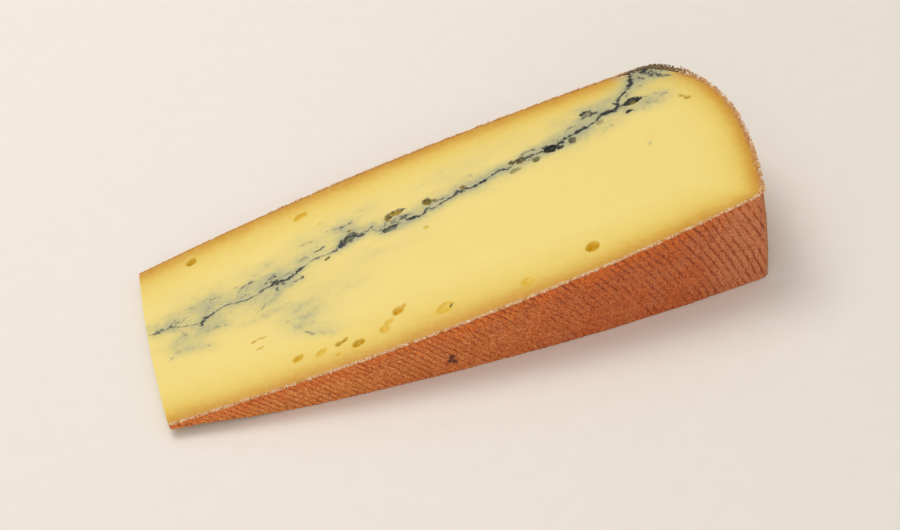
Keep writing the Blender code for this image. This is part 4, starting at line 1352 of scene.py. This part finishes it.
bare_share = (reach_share + (patches - 0.5) * 0.35).rise(0.05, 0.72)
skin_colour = towards_side(bare_share, (222, 130, 52), (198, 90, 32))
deep = towards_side(reach_share.rise(0.25, 0.7), (158, 56, 18), (138, 50, 18))
pale = towards_side(reach_share.rise(0.2, 0.8), (248, 184, 112), (220, 134, 70))
dark = towards_side(reach_share.rise(0.2, 0.7), (180, 84, 30), (132, 50, 18))
rim_colour = rind.layers(
    rind.mix(side_value.rise(0.2, 0.9), srgb(198, 132, 48), srgb(216, 158, 78)),
    (cream * 0.6, srgb(220, 158, 90)),
    ((powder - 0.5) * 2.2, srgb(166, 98, 44)),
    (rim_dusk * (0.45 + flakes * 0.7), srgb(88, 78, 58)),
)
rind_colour = rind.layers(
    skin_colour,
    (bloom.rise(0.54, 0.82) * 0.5, srgb(210, 128, 82)),  # dusty bloom
    (bare.rise(5.5, 1.0) * 0.85, srgb(226, 106, 14)),  # bare orange under the torn edge
    (groove.rise(0.14, 0.78) * 0.86, deep),
    (mottle.rise(0.52, 0.68) * 0.4, srgb(150, 82, 44)),
    (mottle.rise(0.46, 0.34) * 0.35, srgb(222, 132, 72)),
    (veil.rise(0.66, 0.92) * 0.55, srgb(216, 146, 102)),
    (powder.rise(0.51, 0.58) * (1 - ribs * 0.7) * 0.65, pale),  # grains of powder, light and dark
    (powder.rise(0.485, 0.41) * 0.7, dark),
    (side_value.rise(0.1, 0.9) * 0.6, srgb(178, 118, 64)),
    # Grey where ash has come through, and darker towards the top of the back corner.
    (dusk * (0.4 + flakes * 0.8), srgb(94, 82, 58)),  # ash that has come through
    (rind.value("spot") * 0.9, srgb(70, 30, 18)),
    ((rind.value("rim") + (powder - 0.5) * 0.6).rise(0.35, 0.7), rim_colour),
)
rind.soften(0.06, (1.0, 0.4, 0.15), 0.6)
rind_normal = rind.bump(powder * 0.6 + flakes * 0.4, 0.3)
rind.dress(rind_piece, Base_Color=rind_colour, Roughness=0.72 + powder * 0.2, Normal=rind_normal)
print("rind is dressed with", len(rind.tree.nodes), "nodes")


# %% Crumbs
def crumb_finish(name, piece, light, dark, grey=None):
    """A dry crumb: each one has its own tone between two colours, and turns grey where its mesh says so."""
    crumb = Finish(name)
    dust = crumb.grain(0.3, detail=3.0)
    colour = crumb.mix(crumb.value("tone") * 0.8 + dust * 0.4 - 0.1, light, dark)
    if grey:
        colour = crumb.mix(crumb.value("grey") * (0.5 + dust * 0.6), colour, grey)
    crumb.soften(0.15, (1.0, 0.6, 0.3), 0.6)
    crumb.dress(piece, Base_Color=colour, Roughness=0.75 + dust * 0.15, Normal=crumb.bump(dust, 0.06))


crumb_finish("cream_crumb", fringe_crumbs, srgb(255, 233, 192), srgb(214, 142, 78))
crumb_finish("brown_crumb", brown_crumbs, srgb(250, 204, 140), srgb(204, 134, 66), grey=srgb(104, 87, 64))
print("crumbs are dressed")

# %% [markdown]
# ## Which solid each piece stands for
#
# The paste halves and the ash band replace their solids, which stay behind the scenes for the physics. Rind
# and crumbs are extra skins on the same body.

# %% Riding, and hiding the solids that are replaced
BODY = "root"
for piece, slot in (
    (paste_front, "paste"), (paste_back, "paste"), (ash_piece, "ash"), (rind_piece, "rind"),
    (fringe_crumbs, "rind"), (brown_crumbs, "rind"),
):
    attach(piece, BODY)
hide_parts("paste_front")
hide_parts("paste_back")
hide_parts("ash_layer")

# %% [markdown]
# ## Floor, light and camera
#
# A pale floor and one big soft lamp above and behind give what a food photographer's table gives: an evenly
# lit cut, a rind in half shade, and a soft shadow in front. The camera looks down from the front left with a
# long lens and a slight roll. Colours are meant to be read straight off, so the view transform is Standard.

# %% Floor
FLOOR_HALF, FLOOR_DROP = 1500.0, 0.15
floor_across, floor_along = np.meshgrid((-FLOOR_HALF, FLOOR_HALF), (-FLOOR_HALF, FLOOR_HALF))
floor_points = np.stack([floor_along.ravel(), floor_across.ravel(), np.full(4, -FLOOR_DROP)], axis=1)
floor = put_mesh("floor", floor_points, grid_quads(grid_ids(2, 2)))
paper = Finish("pale_floor")
fibre = paper.grain(6.0, detail=3.0)
paper_colour = paper.mix(fibre, srgb(238, 229, 217), srgb(242, 234, 223))
paper.dress(floor, Base_Color=paper_colour, Roughness=0.8)

# %% Light
SKY_COLOUR, SKY_STRENGTH = (1.0, 0.99, 0.97, 1), 0.54
LAMP_AIM = Vector((0, 0, 0.01))  # metres: inside the wedge
world = bpy.data.worlds.new("studio")
world.use_nodes = True
sky = world.node_tree.nodes["Background"].inputs
sky["Color"].default_value, sky["Strength"].default_value = SKY_COLOUR, SKY_STRENGTH
bpy.context.scene.world = world


def soft_lamp(name, position, size, power):
    """A square lamp that faces the wedge: its place and size in metres, its power in watts."""
    data = bpy.data.lights.new(name, "AREA")
    data.size, data.energy = size, power
    lamp = bpy.data.objects.new(name, data)
    lamp.location = position
    lamp.rotation_euler = (LAMP_AIM - Vector(position)).to_track_quat("-Z", "Y").to_euler()
    bpy.context.scene.collection.objects.link(lamp)


soft_lamp("key", (-0.18, 0.30, 0.75), 0.45, 2.95)
soft_lamp("fill", (-0.25, -0.75, 0.45), 0.6, 1.4)
print("world and two lamps")

# %% Camera
LENS = 64.43
CAMERA_AIM = (80.649 + TIP_X, CENTRE_Y - 12.967, 15.125)  # mm: the middle of the picture, on the wedge
CAMERA_DISTANCE = 425.7
CAMERA_AZIMUTH, CAMERA_ELEVATION, CAMERA_ROLL = (math.radians(angle) for angle in (-11.19, 41.52, -7.66))
back = Vector((
    math.sin(CAMERA_AZIMUTH) * math.cos(CAMERA_ELEVATION),
    -math.cos(CAMERA_AZIMUTH) * math.cos(CAMERA_ELEVATION),
    math.sin(CAMERA_ELEVATION),
))
camera_data = bpy.data.cameras.new("camera")
camera_data.lens = LENS
camera = bpy.data.objects.new("camera", camera_data)
looking = (-back).to_track_quat("-Z", "Y").to_matrix().to_4x4() @ Matrix.Rotation(CAMERA_ROLL, 4, "Z")
camera.matrix_world = Matrix.Translation((Vector(CAMERA_AIM) + back * CAMERA_DISTANCE) * MM) @ looking
bpy.context.scene.collection.objects.link(camera)
bpy.context.scene.camera = camera
bpy.context.scene.view_settings.view_transform = "Standard"
print("camera at", tuple(round(c, 4) for c in camera.matrix_world.translation))
